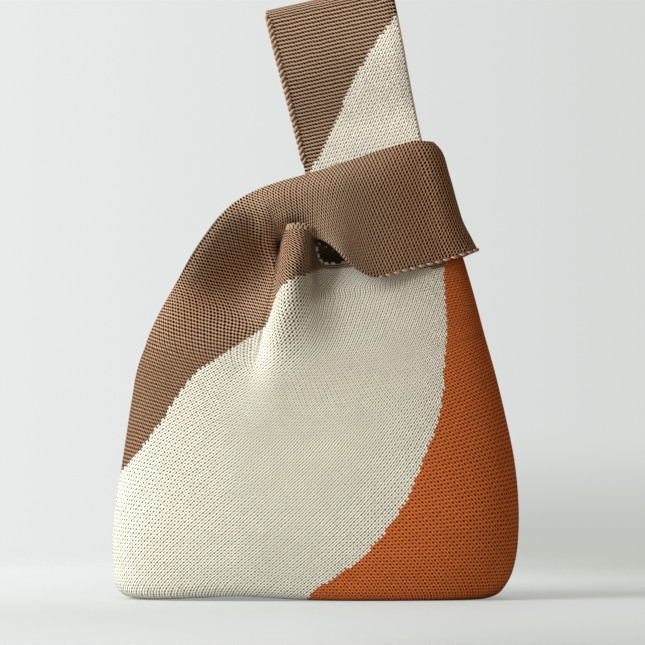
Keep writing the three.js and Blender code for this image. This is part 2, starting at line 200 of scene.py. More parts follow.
def floor_tone(tree, place):
    """Colour of the floor: painted light to the back and the left, and painted shadow at the back on the
    right.
    """
    right, back, _ = split_up(tree, place)
    clouds = calc(tree, "MULTIPLY", cloudy(tree, place, CLOUD_SIZE), TINT_CLOUDS)
    tint = calc(tree, "ADD", calc(tree, "MULTIPLY_ADD", right, TINT_SLANT, clouds), back)
    pale = mixed(tree, spread(tree, tint, *TINT_RANGE, 0.0, 1.0), FLOOR_NEAR, FLOOR_FAR)
    # Painted shadow of the bag, at the back on the right.
    on_right = spread(tree, right, *SHADED_RIGHT, 0.0, 1.0)
    at_back = spread(tree, back, *SHADED_BACK, 0.0, 1.0)
    return mixed(tree, calc(tree, "MULTIPLY", on_right, at_back), pale, FLOOR_SHADED)


print("floor from", FLOOR_NEAR[:3], "near to", FLOOR_FAR[:3], "far")

# %% [markdown]
# ## Floor finish
# The floor is matt. It fades out by its own coordinates, so no edge is seen from any side. Where it is
# seen, it adds its own colour as a glow, so the bag's shadow stays as pale as in the photograph. To all
# other rays it is a plain pale floor without any glow, which throws a little light up under the bag.
# More lamps would make the shadow paler too, but they would also wash out the knit.

# %% Floor finish
FLOOR_GLOW, FLOOR_BOUNCE = 1.0, 1.8
FLOOR_ROUGH, FLOOR_SHINE = 0.7, 0.2
FADE_FROM, FADE_TO = 0.12, 0.8

floor_material = bpy.data.materials.new("pale_floor")
floor_material.use_nodes = True
tree = floor_material.node_tree
shade = tree.nodes["Principled BSDF"]
shade.inputs["Roughness"].default_value = FLOOR_ROUGH
shade.inputs["Specular IOR Level"].default_value = FLOOR_SHINE
place = tree.nodes.new("ShaderNodeTexCoord").outputs["Object"]
distance = tree.nodes.new("ShaderNodeVectorMath")
distance.operation = "LENGTH"
tree.links.new(place, distance.inputs[0])
fade = spread(tree, distance.outputs["Value"], FADE_FROM, FADE_TO, 1.0, 0.0, smooth=True)
tone = floor_tone(tree, place)
seen = seen_directly(tree)
bounce = calc(tree, "MULTIPLY_ADD", seen, 1.0 - FLOOR_BOUNCE, FLOOR_BOUNCE)
tree.links.new(scaled(tree, tone, bounce), shade.inputs["Base Color"])
tree.links.new(tone, shade.inputs["Emission Color"])
tree.links.new(calc(tree, "MULTIPLY", seen, FLOOR_GLOW), shade.inputs["Emission Strength"])
tree.links.new(fade, shade.inputs["Alpha"])
floor_mesh.materials.append(floor_material)
print("floor fades out from", FADE_FROM, "to", FADE_TO, "m")

# %% [markdown]
# ## Backdrop and sky
# Behind the bag is a pale wall with painted light and shadow: lighter on the left, and darker low down
# on the right, where the bag's shadow is painted. A real wall would have to stand somewhere, so it is
# drawn in the world instead, where it is only seen, directly or in a shine. The bag itself gets a weak,
# warm sky from all sides, as a room gives it, and that fills the shadows.

# %% Backdrop and sky
SKY_TONE, SKY_STRENGTH = (1.0, 0.63, 0.32, 1.0), 0.19
WALL_LEFT = (0.84, 0.86, 0.86, 1.0)
WALL_RIGHT = (0.67, 0.685, 0.67, 1.0)
WALL_LOW_SHADOW = (0.545, 0.56, 0.525, 1.0)
WALL_TURN = (-0.08, 0.07)
LOW_TURN, LOW_RISE = (-0.012, 0.03), (-0.037, -0.022)

world = bpy.data.worlds.new("studio")
scene.world = world
world.use_nodes = True
tree = world.node_tree
sky = tree.nodes["Background"]
sky.inputs["Color"].default_value = SKY_TONE
sky.inputs["Strength"].default_value = SKY_STRENGTH
backdrop = tree.nodes.new("ShaderNodeBackground")
backdrop.inputs["Strength"].default_value = 1.0
heading = tree.nodes.new("ShaderNodeTexCoord").outputs["Generated"]
to_right, _, to_top = split_up(tree, heading)
# Painted light and shadow: lighter on the left, darker low down on the right.
wall = mixed(tree, spread(tree, to_right, *WALL_TURN, 0.0, 1.0, smooth=True), WALL_LEFT, WALL_RIGHT)
low_down = spread(tree, to_top, *LOW_RISE, 1.0, 0.0, smooth=True)
low_right = spread(tree, to_right, *LOW_TURN, 0.0, 1.0, smooth=True)
wall = mixed(tree, calc(tree, "MULTIPLY", low_down, low_right), wall, WALL_LOW_SHADOW)
tree.links.new(wall, backdrop.inputs["Color"])
choose = tree.nodes.new("ShaderNodeMixShader")
tree.links.new(seen_directly(tree), choose.inputs[0])
tree.links.new(sky.outputs[0], choose.inputs[1])
tree.links.new(backdrop.outputs[0], choose.inputs[2])
tree.links.new(choose.outputs[0], tree.nodes["World Output"].inputs[0])
print("sky strength", SKY_STRENGTH)

# %% [markdown]
# ## Lamps
# The left side of the bag is bright and the right side of each fold lies in shade, so the main light is
# large and soft and stands high on the left, like a window. A weak lamp in front and one above, behind
# the bag, soften it. Square area lamps do this with few samples, and their size sets how soft the
# shade's edge is.

# %% Lamps
def lamp(name, place, aim, size, watts, tone):
    """A square soft lamp that looks at a point."""
    data = bpy.data.lights.new(name, "AREA")
    data.size = size
    data.energy = watts
    data.color = tone
    item = bpy.data.objects.new(name, data)
    item.location = place
    item.rotation_euler = (Vector(aim) - Vector(place)).to_track_quat("-Z", "Y").to_euler()
    scene.collection.objects.link(item)


lamp("window_left", place=(-1.38, -0.72, 1.1), aim=(0, 0, 0.14), size=1.0, watts=56.0,
     tone=(0.96, 0.985, 1.0))
lamp("fill_front", place=(-0.4, -1.85, 0.9), aim=(0, 0, 0.14), size=1.4, watts=5.0, tone=(1.0, 0.95, 0.86))
lamp("top_soft", place=(0.1, 0.5, 1.7), aim=(0, 0, 0.1), size=1.4, watts=7.0, tone=(1.0, 1.0, 1.0))

# %% [markdown]
# ## The knit finish: where a stitch lies
# The bag is a firm knit, with stitches about 1.6 mm wide and 1.75 mm tall. Each stitch is a small V:
# two legs of yarn that lean towards each other, with dark gaps round them. Modelling every loop would
# take millions of faces. So each mesh has one face for each stitch, its texture coordinates count
# columns and courses, and the material draws the loops. The count wanders a little, because no hand or
# machine feeds yarn quite evenly.

# %% Stitch places
DRIFT_SIZE, DRIFT_COLUMN, DRIFT_COURSE = 0.23, 0.4, -0.35


def stitch_place(tree):
    """Stitch coordinates of a spot, and the column and the course that it lies on."""
    layer = tree.nodes.new("ShaderNodeUVMap")
    layer.uv_map = "stitches"
    where = layer.outputs[0]
    right, up, _ = split_up(tree, where)
    drift = calc(tree, "SUBTRACT", cloudy(tree, where, DRIFT_SIZE, detail=1.0), 0.5)
    column = calc(tree, "MULTIPLY_ADD", drift, DRIFT_COLUMN, right)
    course = calc(tree, "MULTIPLY_ADD", drift, DRIFT_COURSE, up)
    return where, column, course


print("columns wander by up to", DRIFT_COLUMN / 2, "of a stitch")

# %% [markdown]
# ## The knit finish: weaves
# Seen from a little way off, the gaps of a jacquard knit form lines: along the courses, along the
# columns and along both diagonals, some over every second stitch. Each kind of line is one wave, given
# by how often it runs over a column and over a course. A weave is the strength of each wave. Each yarn
# has its own, because it lies a little differently. A picture of knit would show one weave only.

# %% Weaves
WAVES = {
    "rows": (0, 1), "columns": (1, 0), "rising": (1, -1), "falling": (1, 1),
    "pair_up": (0.5, -0.5), "pair_down": (0.5, 0.5),
}
BROWN_WEAVE = {
    "rows": 1.15, "columns": 0.45, "falling": 0.9, "rising": 0.35, "pair_up": 0.12, "pair_down": 0.22,
}
CREAM_WEAVE = {
    "rows": 0.4, "columns": 0.35, "falling": 0.8, "rising": 1.6, "pair_up": 0.3, "pair_down": 0.3,
}
ORANGE_WEAVE = {
    "rows": 0.9, "columns": 0.3, "falling": 1.0, "rising": 0.4, "pair_up": 0.5, "pair_down": 0.3,
}
print("kinds of lines", list(WAVES))

# %% [markdown]
# ## The knit finish: gaps between the loops
# The sum of the waves is a height: 1 on the tip of a loop, 0 in a gap. The mesh says where the cloth
# differs: stretched columns part and show holes, and rows that are pressed together lose their other
# lines. Holes could be cut into the mesh, but they are smaller than a stitch, so they are drawn.

# %% Gaps between the loops
ROWS_WHEN_STRETCHED = -0.8
HOLE_ACROSS, HOLE_UP = (1.6, 0.1), (0.9, 0.5)


def mesh_value(tree, name):
    """A value that the mesh carries at each point; 0 on a mesh without it."""
    node = tree.nodes.new("ShaderNodeAttribute")
    node.attribute_name = name
    return node.outputs["Fac"]


def wave(tree, column, course, along, up):
    """A cosine that runs so many times over a column and over a course."""
    climb = calc(tree, "MULTIPLY", course, 2 * math.pi * up)
    return calc(tree, "COSINE", calc(tree, "MULTIPLY_ADD", column, 2 * math.pi * along, climb))


def loop_height(tree, column, course, weave):
    """1 on the tip of a loop, 0 in a gap."""
    stretch = mesh_value(tree, "stretch")
    apart = calc(tree, "MAXIMUM", stretch, 0.0)
    pressed = calc(tree, "MAXIMUM", calc(tree, "MULTIPLY", stretch, -1.0), 0.0)
    waves = {kind: wave(tree, column, course, *WAVES[kind]) for kind in weave}
    others = 0.0
    for kind, strength in weave.items():
        if kind != "rows":
            others = calc(tree, "MULTIPLY_ADD", waves[kind], strength, others)
    others = calc(tree, "MULTIPLY", others, calc(tree, "SUBTRACT", 1.0, pressed))
    rows = calc(tree, "MULTIPLY", waves["rows"], calc(tree, "MULTIPLY_ADD", apart, ROWS_WHEN_STRETCHED, 1.0))
    gaps = calc(tree, "MULTIPLY_ADD", rows, weave["rows"], others)
    most = sum(weave.values())
    total = calc(tree, "MULTIPLY_ADD", pressed, weave["rows"] - most, most)
    height = calc(tree, "MULTIPLY_ADD", calc(tree, "DIVIDE", gaps, total), -0.5, 0.5)

    hole = calc(tree, "MULTIPLY_ADD", waves["columns"], *HOLE_ACROSS, clamp=True)
    hole = calc(tree, "MULTIPLY", hole, calc(tree, "MULTIPLY_ADD", waves["rows"], *HOLE_UP, clamp=True))
    return calc(tree, "MULTIPLY", height, calc(tree, "SUBTRACT", 1.0, calc(tree, "MULTIPLY", apart, hole)))


print("rows fade to", round(1 + ROWS_WHEN_STRETCHED, 2), "where the cloth is stretched")

# %% [markdown]
# ## The knit finish: legs and uneven yarn
# Close up, light catches the two round legs of each V. They only matter as relief, so they go into the
# bump and not into the colour. Yarn is never even: each stitch is a little lighter or darker than the
# next, the fibres vary along the yarn, and broad clouds run over the cloth.

# %% Legs and uneven yarn
LEG_LEAN = 0.6
CLOUDS_SIZE = 0.05
STITCH_VARIES, YARN_VARIES = 0.10, 0.16


def leg_relief(tree, column, course):
    """The two legs of each V, round in section: 1 on a leg's middle line, 0 between two legs."""
    twice = calc(tree, "MULTIPLY", column, 2.0)
    across = calc(tree, "SUBTRACT", calc(tree, "FRACT", twice), 0.5)
    other = calc(tree, "FLOORED_MODULO", calc(tree, "FLOOR", twice), 2.0)
    lean = calc(tree, "MULTIPLY_ADD", other, -2.0 * LEG_LEAN, LEG_LEAN)
    climb = calc(tree, "MULTIPLY_ADD", across, lean, course)
    off = calc(tree, "MULTIPLY_ADD", calc(tree, "FRACT", climb), 2.0, -1.0)
    return calc(tree, "SUBTRACT", 1.0, calc(tree, "MULTIPLY", off, off))


def uneven_tone(tree, where, column, course, fibre):
    """A factor near 1 that differs from stitch to stitch, along the yarn and over the cloth."""
    cell = tree.nodes.new("ShaderNodeCombineXYZ")
    tree.links.new(calc(tree, "FLOOR", column), cell.inputs[0])
    tree.links.new(calc(tree, "FLOOR", course), cell.inputs[1])
    chance = tree.nodes.new("ShaderNodeTexWhiteNoise")
    chance.noise_dimensions = "2D"
    tree.links.new(cell.outputs[0], chance.inputs["Vector"])
    tone = calc(tree, "MULTIPLY_ADD", chance.outputs["Value"], STITCH_VARIES, 1.0 - STITCH_VARIES)
    for noise in (fibre, cloudy(tree, where, CLOUDS_SIZE, detail=3.0)):
        tone = calc(tree, "ADD", tone, calc(tree, "MULTIPLY_ADD", noise, YARN_VARIES, -0.5 * YARN_VARIES))
    return tone


print("tone varies by", STITCH_VARIES, "from stitch to stitch")

# %% [markdown]
# ## The knit finish: one maker for all
# The colour goes from the gap over the yarn to the tip of the loop as the height rises, and the same
# height makes the relief. The gap's colour is painted shade between the loops, and the tip's colour is
# painted light on the loops. Knit has next to no shine. The mesh also marks where shade is painted in,
# as darker and redder yarn, and where the brown low on the body is painted darker and flatter, as
# painted shade. A picture of real knit would be quicker, but it would repeat and couldn't follow the
# folds, so everything is worked out from the stitch coordinates.

# %% Knit material
# The first tone leaves the colour as it is; the second is painted shade, darker and redder.
PLAIN_TONE, PAINTED_SHADE_TONE = (1.0, 1.0, 1.0, 1.0), (0.90, 0.74, 0.64, 1.0)
FIBRE_SIZE = 9.0
TIP_STEP, LOW_SHADE_ABOVE = 0.75, 0.05
FIBRE_RANGE, KNIT_ROUGH = (0.3, 0.7), (0.82, 0.97)
BUMP_STRENGTH, BUMP_DEPTH = 0.85, 0.0006
LEG_SHARE, FIBRE_SHARE = 0.35, 0.15
KNIT_SHINE = 0.05


def relief_on(tree, shade, height, strength, depth):
    """A bump that follows a height."""
    bump = tree.nodes.new("ShaderNodeBump")
    bump.inputs["Strength"].default_value = strength
    bump.inputs["Distance"].default_value = depth
    tree.links.new(height, bump.inputs["Height"])
    tree.links.new(bump.outputs[0], shade.inputs["Normal"])


def knit_material(name, tip, yarn, gap, weave, turn, step, snug_loss=0.0):
    """A knit of one yarn, which shows at the height turn; a step lower is the gap, higher the tip."""
    material = bpy.data.materials.new(name)
    material.use_nodes = True
    tree = material.node_tree
    shade = tree.nodes["Principled BSDF"]
    where, column, course = stitch_place(tree)
    height = loop_height(tree, column, course, weave)
    # Painted shade: low on the body the brown is pulled towards its dark yarn colour, darker and flatter.
    snug = calc(tree, "MULTIPLY", mesh_value(tree, "snug"), snug_loss)
    shallow = calc(tree, "SUBTRACT", turn + LOW_SHADE_ABOVE * step, height)
    height = calc(tree, "MULTIPLY_ADD", shallow, snug, height)

    fibre = cloudy(tree, where, FIBRE_SIZE, roughness=0.7)
    # Painted shade in the gaps between the loops, painted light on the loop tips.
    colour = mixed(tree, spread(tree, height, turn - step, turn, 0.0, 1.0), gap, yarn)
    colour = mixed(tree, spread(tree, height, turn, turn + TIP_STEP * step, 0.0, 1.0), colour, tip)
    # Painted shade: a mark on the mesh makes the yarn darker and redder at the cuff's end and the shoulder's
    # fold.
    darker = tree.nodes.new("ShaderNodeVectorMath")
    darker.operation = "MULTIPLY"
    tree.links.new(colour, darker.inputs[0])
    tree.links.new(mixed(tree, mesh_value(tree, "handled"), PLAIN_TONE, PAINTED_SHADE_TONE), darker.inputs[1])
    tone = uneven_tone(tree, where, column, course, fibre)
    tree.links.new(scaled(tree, darker.outputs[0], tone), shade.inputs["Base Color"])
    tree.links.new(spread(tree, fibre, *FIBRE_RANGE, *KNIT_ROUGH), shade.inputs["Roughness"])
    shade.inputs["Specular IOR Level"].default_value = KNIT_SHINE

    relief = calc(tree, "MULTIPLY_ADD", leg_relief(tree, column, course), LEG_SHARE, height)
    relief = calc(tree, "MULTIPLY_ADD", fibre, FIBRE_SHARE, relief)
    relief_on(tree, shade, relief, BUMP_STRENGTH, BUMP_DEPTH)
    return material


print("knit relief", BUMP_DEPTH, "m deep")

# %% [markdown]
# ## The knit finish: the yarns
# The bag is knitted from three yarns: brown, cream and orange. Each has its own weave and its own three
# colours. The strap's cream is a lighter copy of the cream, with painted light. The inside and the
# selvedge of the left shoulder are darker copies of the brown, with painted shade. These could be tones
# of one material, but a material of their own keeps every colour easy to find and to change.

# %% Knitted yarns
BROWN = knit_material(
    "brown_knit", tip=(0.565, 0.395, 0.267, 1), yarn=(0.13, 0.058, 0.025, 1), gap=(0.007, 0.0018, 0.0008, 1),
    weave=BROWN_WEAVE, turn=0.52, step=0.12, snug_loss=0.75)
CREAM = knit_material(
    "cream_knit", tip=(0.97, 0.955, 0.865, 1), yarn=(0.71, 0.675, 0.55, 1), gap=(0.085, 0.055, 0.028, 1),
    weave=CREAM_WEAVE, turn=0.46, step=0.18)
ORANGE = knit_material(
    "orange_knit", tip=(0.69, 0.203, 0.058, 1), yarn=(0.475, 0.083, 0.013, 1), gap=(0.125, 0.008, 0.0006, 1),
    weave=ORANGE_WEAVE, turn=0.46, step=0.19)
# Painted light: the strap's cream is a lighter copy of the cream, with paler gaps.
STRAP_CREAM_LIT = knit_material(
    "cream_strap_lit_knit", tip=(0.975, 0.965, 0.89, 1), yarn=(0.86, 0.83, 0.71, 1), gap=(0.17, 0.125, 0.075, 1),
    weave=CREAM_WEAVE, turn=0.43, step=0.2)
# Painted shade: the inside of the bag, a much darker copy of the brown.
INSIDE_SHADE = knit_material(
    "inside_shade_knit", tip=(0.08, 0.05, 0.032, 1), yarn=(0.034, 0.019, 0.011, 1), gap=(0.006, 0.003, 0.0015, 1),
    weave=BROWN_WEAVE, turn=0.5, step=0.15)
# Painted shade: the left shoulder's selvedge, a darker copy of the brown.
SELVEDGE_SHADE = knit_material(
    "selvedge_shade_knit", tip=(0.22, 0.145, 0.095, 1), yarn=(0.085, 0.042, 0.021, 1), gap=(0.007, 0.002, 0.001, 1),
    weave=BROWN_WEAVE, turn=0.5, step=0.15)
FIELDS = [BROWN, CREAM, ORANGE, INSIDE_SHADE, SELVEDGE_SHADE]
BROWN_FIELD, CREAM_FIELD, ORANGE_FIELD, INSIDE_SHADE_FIELD, SELVEDGE_SHADE_FIELD = range(5)
print("knits", [knit.name for knit in FIELDS])

# %% [markdown]
# ## Yarn for cords, loops and seams
# Some yarn lies free on the bag: a twisted cord of three colours under the short handle, a brown rope
# along the long handle, small loops and dashes round the mouth, and the stitches of the seams. These
# are modelled as real strands further down. Such a strand has no stitches of its own, so its finish
# only has the fine twist of the fibres and an uneven tone, both from noise in the strand's own space.

# %% Yarn material
TWIST_SIZE, TONE_SIZE = 2600.0, 300.0
TWIST_TONE = 0.7
TONE_RANGE, YARN_ROUGH = (0.3, 0.62), (0.8, 0.95)
YARN_BUMP, YARN_BUMP_DEPTH = 0.6, 0.0003
YARN_SHINE, YARN_FUZZ = 0.18, 0.1


def yarn_material(name, light, dark):
    """Twisted yarn, seen close."""
    material = bpy.data.materials.new(name)
    material.use_nodes = True
    tree = material.node_tree
    shade = tree.nodes["Principled BSDF"]
    place = tree.nodes.new("ShaderNodeTexCoord").outputs["Object"]
    fibre = cloudy(tree, place, TWIST_SIZE, detail=3.0, roughness=0.7)
    broad = calc(tree, "MULTIPLY", cloudy(tree, place, TONE_SIZE), 1.0 - TWIST_TONE)
    tone = spread(tree, calc(tree, "MULTIPLY_ADD", fibre, TWIST_TONE, broad), *TONE_RANGE, 0.0, 1.0)
    tree.links.new(mixed(tree, tone, dark, light), shade.inputs["Base Color"])
    tree.links.new(spread(tree, fibre, *FIBRE_RANGE, *YARN_ROUGH), shade.inputs["Roughness"])
    shade.inputs["Specular IOR Level"].default_value = YARN_SHINE
    shade.inputs["Sheen Weight"].default_value = YARN_FUZZ
    relief_on(tree, shade, fibre, YARN_BUMP, YARN_BUMP_DEPTH)
    return material


BROWN_YARN = yarn_material("brown_yarn", light=(0.56, 0.395, 0.265, 1), dark=(0.16, 0.08, 0.042, 1))
CREAM_YARN = yarn_material("cream_yarn", light=(0.80, 0.77, 0.67, 1), dark=(0.50, 0.45, 0.34, 1))
RUST_YARN = yarn_material("rust_yarn", light=(0.40, 0.085, 0.03, 1), dark=(0.18, 0.03, 0.01, 1))
print("materials", [m.name for m in bpy.data.materials])

# %% [markdown]
# ## Smooth lines and smooth values
# Every form below is drawn with a few given points, as a pattern cutter would mark them. Two
# helpers turn these into smooth lines and values: both use cubic pieces that pass through the points,
# because an approximating curve would miss the marks. All lengths are in millimetres until a mesh is
# made.

# %% Smooth helpers
def blend_up(value, low, high):
    """Rises smoothly from 0 to 1 between low and high."""
    share = np.clip((np.asarray(value, float) - low) / (high - low), 0, 1)
    return share * share * (3 - 2 * share)


def smooth_value(x, knots, values):
    """A smooth curve through (knots, values); values may be rows of numbers."""
    knots = np.asarray(knots, float)
    values = np.asarray(values, float)
    x = np.clip(np.asarray(x, float), knots[0], knots[-1])
    slopes = np.gradient(values, knots, axis=0)
    k = np.clip(np.searchsorted(knots, x, side="right") - 1, 0, len(knots) - 2)
    span = knots[k + 1] - knots[k]
    u = (x - knots[k]) / span
    if values.ndim > 1:
        u, span = u[..., None], span[..., None]
    start = (1 + 2 * u) * (1 - u) ** 2 * values[k] + u * (1 - u) ** 2 * span * slopes[k]
    return start + u * u * (3 - 2 * u) * values[k + 1] + u * u * (u - 1) * span * slopes[k + 1]


def run_of(line):
    """Distance along a line at each of its points."""
    return np.concatenate([[0], np.cumsum(np.linalg.norm(np.diff(line, axis=0), axis=1))])


def smooth_line(points, count=300):
    """A dense smooth line through the points."""
    points = np.asarray(points, float)
    knots = run_of(points)
    return smooth_value(np.linspace(0, knots[-1], count), knots, points)


def evenly(line, count, ease=None):
    """The line again, with points at equal distances, or ease times as wide apart."""
    run = run_of(line)
    if ease is not None:
        run = np.concatenate([[0], np.cumsum(np.diff(run) * 2 / (ease[1:] + ease[:-1]))])
    want = np.linspace(0, run[-1], count)
    return np.stack([np.interp(want, run, line[:, k]) for k in range(line.shape[1])], axis=1)


print("half way up from 0 to 1:", float(blend_up(0.5, 0, 1)))

# %% [markdown]
# ## Outline of the body
# The body stands on a flat oval base, bellies out a little above the floor and then leans in towards
# the mouth, more on the left than on the right. The sizes are those of the solid model, within a few
# millimetres. Here the two sides follow the outline in the photograph, point by point, and the base
# turns up in a firm fold.

# %% Body outline
BELLY_HEIGHT, RIM_HEIGHT = 36.0, 178.0
DEPTH_INSET, INSET_POWER = 24.5, 1.3
SECTION_POWER = 2.8
FOLD_Z = [0, 0.5, 1.6, 4, 9, 18, 36]
FOLD_DEPTH = [29.5, 32.5, 34.6, 36.2, 37.6, 39.2, 40]
LIFT_HEIGHT, LIFT_MIDDLE, LIFT_REACH, LIFT_TOP = 2.4, -42, 30, 45
LEFT_Z = [0, 0.8, 2.6, 6.8, 17, 33, 51.5, 67, 85.5, 105, 123, 133, 150, 178, 196]
LEFT_X = [-92, -97, -101, -104, -105.4, -106, -104.3, -101.8, -99, -96, -92.6, -89, -81, -66, -57]
RIGHT_Z = [0, 0.8, 2.6, 6, 11.5, 21.5, 36, 54, 75, 97.5, 118.5, 140, 159, 177, 196]
RIGHT_X = [87, 91, 95, 98, 101.2, 104, 105.5, 105.4, 103.2, 98.6, 93.6, 87.6, 82.6, 77.4, 71.5]


def left_x(z):
    """The left side of the body at a height."""
    return smooth_value(z, LEFT_Z, LEFT_X)


def right_x(z):
    """The right side of the body at a height."""
    return smooth_value(z, RIGHT_Z, RIGHT_X)


def half_depth(z):
    """Depth from the middle plane to the front, without folds."""
    lean = np.maximum((np.asarray(z, float) - BELLY_HEIGHT) / (RIM_HEIGHT - BELLY_HEIGHT), 0)
    return smooth_value(z, FOLD_Z, FOLD_DEPTH) - DEPTH_INSET * lean ** INSET_POWER


def base_lift(x, level):
    """The soft underside lifts off the floor a little, left of its middle."""
    return LIFT_HEIGHT * np.exp(-((x - LIFT_MIDDLE) / LIFT_REACH) ** 2) * (1 - blend_up(level, 0, LIFT_TOP))


print("belly", round(float(right_x(BELLY_HEIGHT) - left_x(BELLY_HEIGHT)), 1), "mm wide")

# %% [markdown]
# ## The gathered pleat
# Where the long handle pulls, the cloth under the mouth stands out in one rounded pleat. Its left flank
# is steep all the way. Its right flank is a long slope low down and turns under near the mouth, where a
# dent follows it. A cloth simulation would gather the cloth too, but never just so, and these few
# tables follow the photograph's shading.

# %% Pleat
PLEAT_Z = [85, 105, 120, 136, 150, 157, 170, 183, 196]
PLEAT_X = [-21, -20, -19.5, -18, -16, -14.5, -12, -10.5, -8.8]
PLEAT_OUT = [0, 1.4, 3.6, 7, 11, 13, 16, 18, 19]
PLEAT_HALF = [15, 13.5, 11.5, 9.2, 8.0, 7.8, 7.8, 8.4, 8.8]
PLEAT_RIGHT = [34, 34, 34, 33, 30, 25, 11, 8.4, 8.8]
PLEAT_ROUND, PLEAT_ROUNDER = 2.4, 2.2
TUBE_Z, FIRM_Z = (112, 150), (158, 182)
DENT_Z = [145, 158, 166, 176, 190]
DENT_IN = [0, 1.0, 3.0, 5.5, 7.0]
DENT_OFF, DENT_LEFT, DENT_RIGHT = 4, 4.0, 14.0


def pleat_ridge(x, z):
    """How far the pleat stands out: a soft rise low down that becomes a firm tube at the mouth."""
    off = x - smooth_value(z, PLEAT_Z, PLEAT_X)
    off = off / np.where(off < 0, smooth_value(z, PLEAT_Z, PLEAT_HALF), smooth_value(z, PLEAT_Z, PLEAT_RIGHT))
    soft = np.exp(-np.abs(off) ** PLEAT_ROUND)
    firm = blend_up(z, *FIRM_Z)
    tube = np.sqrt(np.maximum(1 - np.abs(off) ** (PLEAT_ROUND + PLEAT_ROUNDER * firm), 0))
    slope = np.cos(np.clip(off, 0, 1) * math.pi / 2) ** 2
    tube = np.where(off < 0, tube, slope + (tube - slope) * firm)
    return smooth_value(z, PLEAT_Z, PLEAT_OUT) * (soft + (tube - soft) * blend_up(z, *TUBE_Z))


def pleat_dent(x, z):
    """How far the cloth sinks in at the right foot of the pleat, under the mouth."""
    off = x - smooth_value(z, PLEAT_Z, PLEAT_X) - smooth_value(z, PLEAT_Z, PLEAT_HALF)
    reach = np.where(off < DENT_OFF, DENT_LEFT, DENT_RIGHT)
    return smooth_value(z, DENT_Z, DENT_IN) * np.exp(-((off - DENT_OFF) / reach) ** 2)


print("pleat stands out", PLEAT_OUT[-1], "mm at the mouth")

# %% [markdown]
# ## Valley and front
# Left of the pleat lies a deep valley, where the shoulder's cloth and the mouth's cloth part. Pleat and
# valley are added to a plain rounded body, each by a share, so that one function draws the front and
# the back. The back isn't in the photograph. Its pleat is taken as shallower. The folds could also be
# sculpted, but then they couldn't be told apart and changed one by one.

# %% Valley and front
VALLEY_Z = [85, 105, 120, 150, 170, 186]
VALLEY_X = [-42, -36, -32, -26, -22, -19.3]
VALLEY_IN = [0, 0.6, 1.5, 5.5, 9, 12]
VALLEY_LEFT, VALLEY_RIGHT = 15.0, 5.0


def valley_dent(x, z):
    """How far the cloth sinks in between the shoulder and the pleat."""
    off = x - smooth_value(z, VALLEY_Z, VALLEY_X)
    reach = np.where(off < 0, VALLEY_LEFT, VALLEY_RIGHT)
    return smooth_value(z, VALLEY_Z, VALLEY_IN) * np.exp(-(off / reach) ** 2)


def front_depth(x, z, pleat, valley):
    """How far the front cloth stands before the middle plane."""
    lean = (2 * x - left_x(z) - right_x(z)) / (right_x(z) - left_x(z))
    section = np.maximum(1 - np.abs(np.clip(lean, -1, 1)) ** SECTION_POWER, 0) ** (1 / SECTION_POWER)
    ridge = pleat_ridge(x, z) - pleat_dent(x, z)
    return half_depth(z) * section + pleat * ridge - valley * valley_dent(x, z)


print("valley sinks in", VALLEY_IN[-1], "mm at the mouth")

# %% [markdown]
# ## Stitches drawn wide
# On the pleat the cloth is pulled hard, and its stitches are drawn to nearly twice their width. Columns
# of one width would be simpler, but the wide ones show where the bag is gathered. So an ease says how
# wide a stitch is at each place, and the columns are spaced by it.

# %% Stitches drawn wide
EASE_MOST, EASE_REACH, EASE_Z = 0.9, 1.05, (100, 140)
FULL_PLEAT, FULL_VALLEY = 1.0, 1.0


def pleat_ease(x, z, pleat):
    """How much wider the stitches are drawn on a full pleat, which is pulled hard."""
    if pleat < FULL_PLEAT:
        return None
    off = (x - smooth_value(z, PLEAT_Z, PLEAT_X)) / smooth_value(z, PLEAT_Z, PLEAT_HALF)
    return 1 + EASE_MOST * np.exp(-(off / EASE_REACH) ** 4) * blend_up(z, *EASE_Z)


print("stitches on the pleat are", 1 + EASE_MOST, "times as wide")

# %% [markdown]
# ## Where the columns part
# A panel is one T-shaped grid with a face for each stitch, just as a knitting machine would count it. A
# course is a row of stitches, a column a line of stitches one above the other. Above the shoulder the
# left 42 columns leave the body and become the short handle, and the others go on to the mouth. The
# line where they part is the valley. A net of triangles would follow any form too, but it has no
# columns to count.

# %% Parting line
COLUMNS, HANDLE_COLUMNS = 140, 42
PART_Z, PARTING_POINTS = (50, 112), 400


def parting_x(z):
    """Where the handle's columns and the mouth's columns part at a height."""
    x = np.linspace(left_x(z), right_x(z), PARTING_POINTS)
    ring = np.stack([x, front_depth(x, np.full_like(x, z), 0, 0)], axis=1)
    natural = evenly(ring, COLUMNS + 1)[HANDLE_COLUMNS, 0]
    drawn = smooth_value(z, VALLEY_Z, VALLEY_X)
    return natural + (drawn - natural) * blend_up(z, *PART_Z)


print("columns", HANDLE_COLUMNS, "for the handle and", COLUMNS - HANDLE_COLUMNS, "for the mouth")

# %% [markdown]
# ## Courses of the body
# The courses hang in a shallow curve, because the handles lift both sides. Each is drawn as a fine line
# over pleat and valley and then divided into stitches, left and right of the parting line. Under the
# bag the courses run on from the edge of the base to its seam. A flat lid would be simpler, but knit
# has no lid.

# %% Body courses
BASE_COURSES, STITCH_TALL = 16, 1.75
SHOULDER_HEIGHT, SEAM_HALF = 120.0, 76
COURSE_SAG, COURSE_MIDDLE, SAG_TOP = 0.002, -10, 110
FINE, FINER = 500, 3000


def course_rise(x):
    """How much higher a course lies at x than in its middle."""
    return COURSE_SAG * (x - COURSE_MIDDLE) ** 2


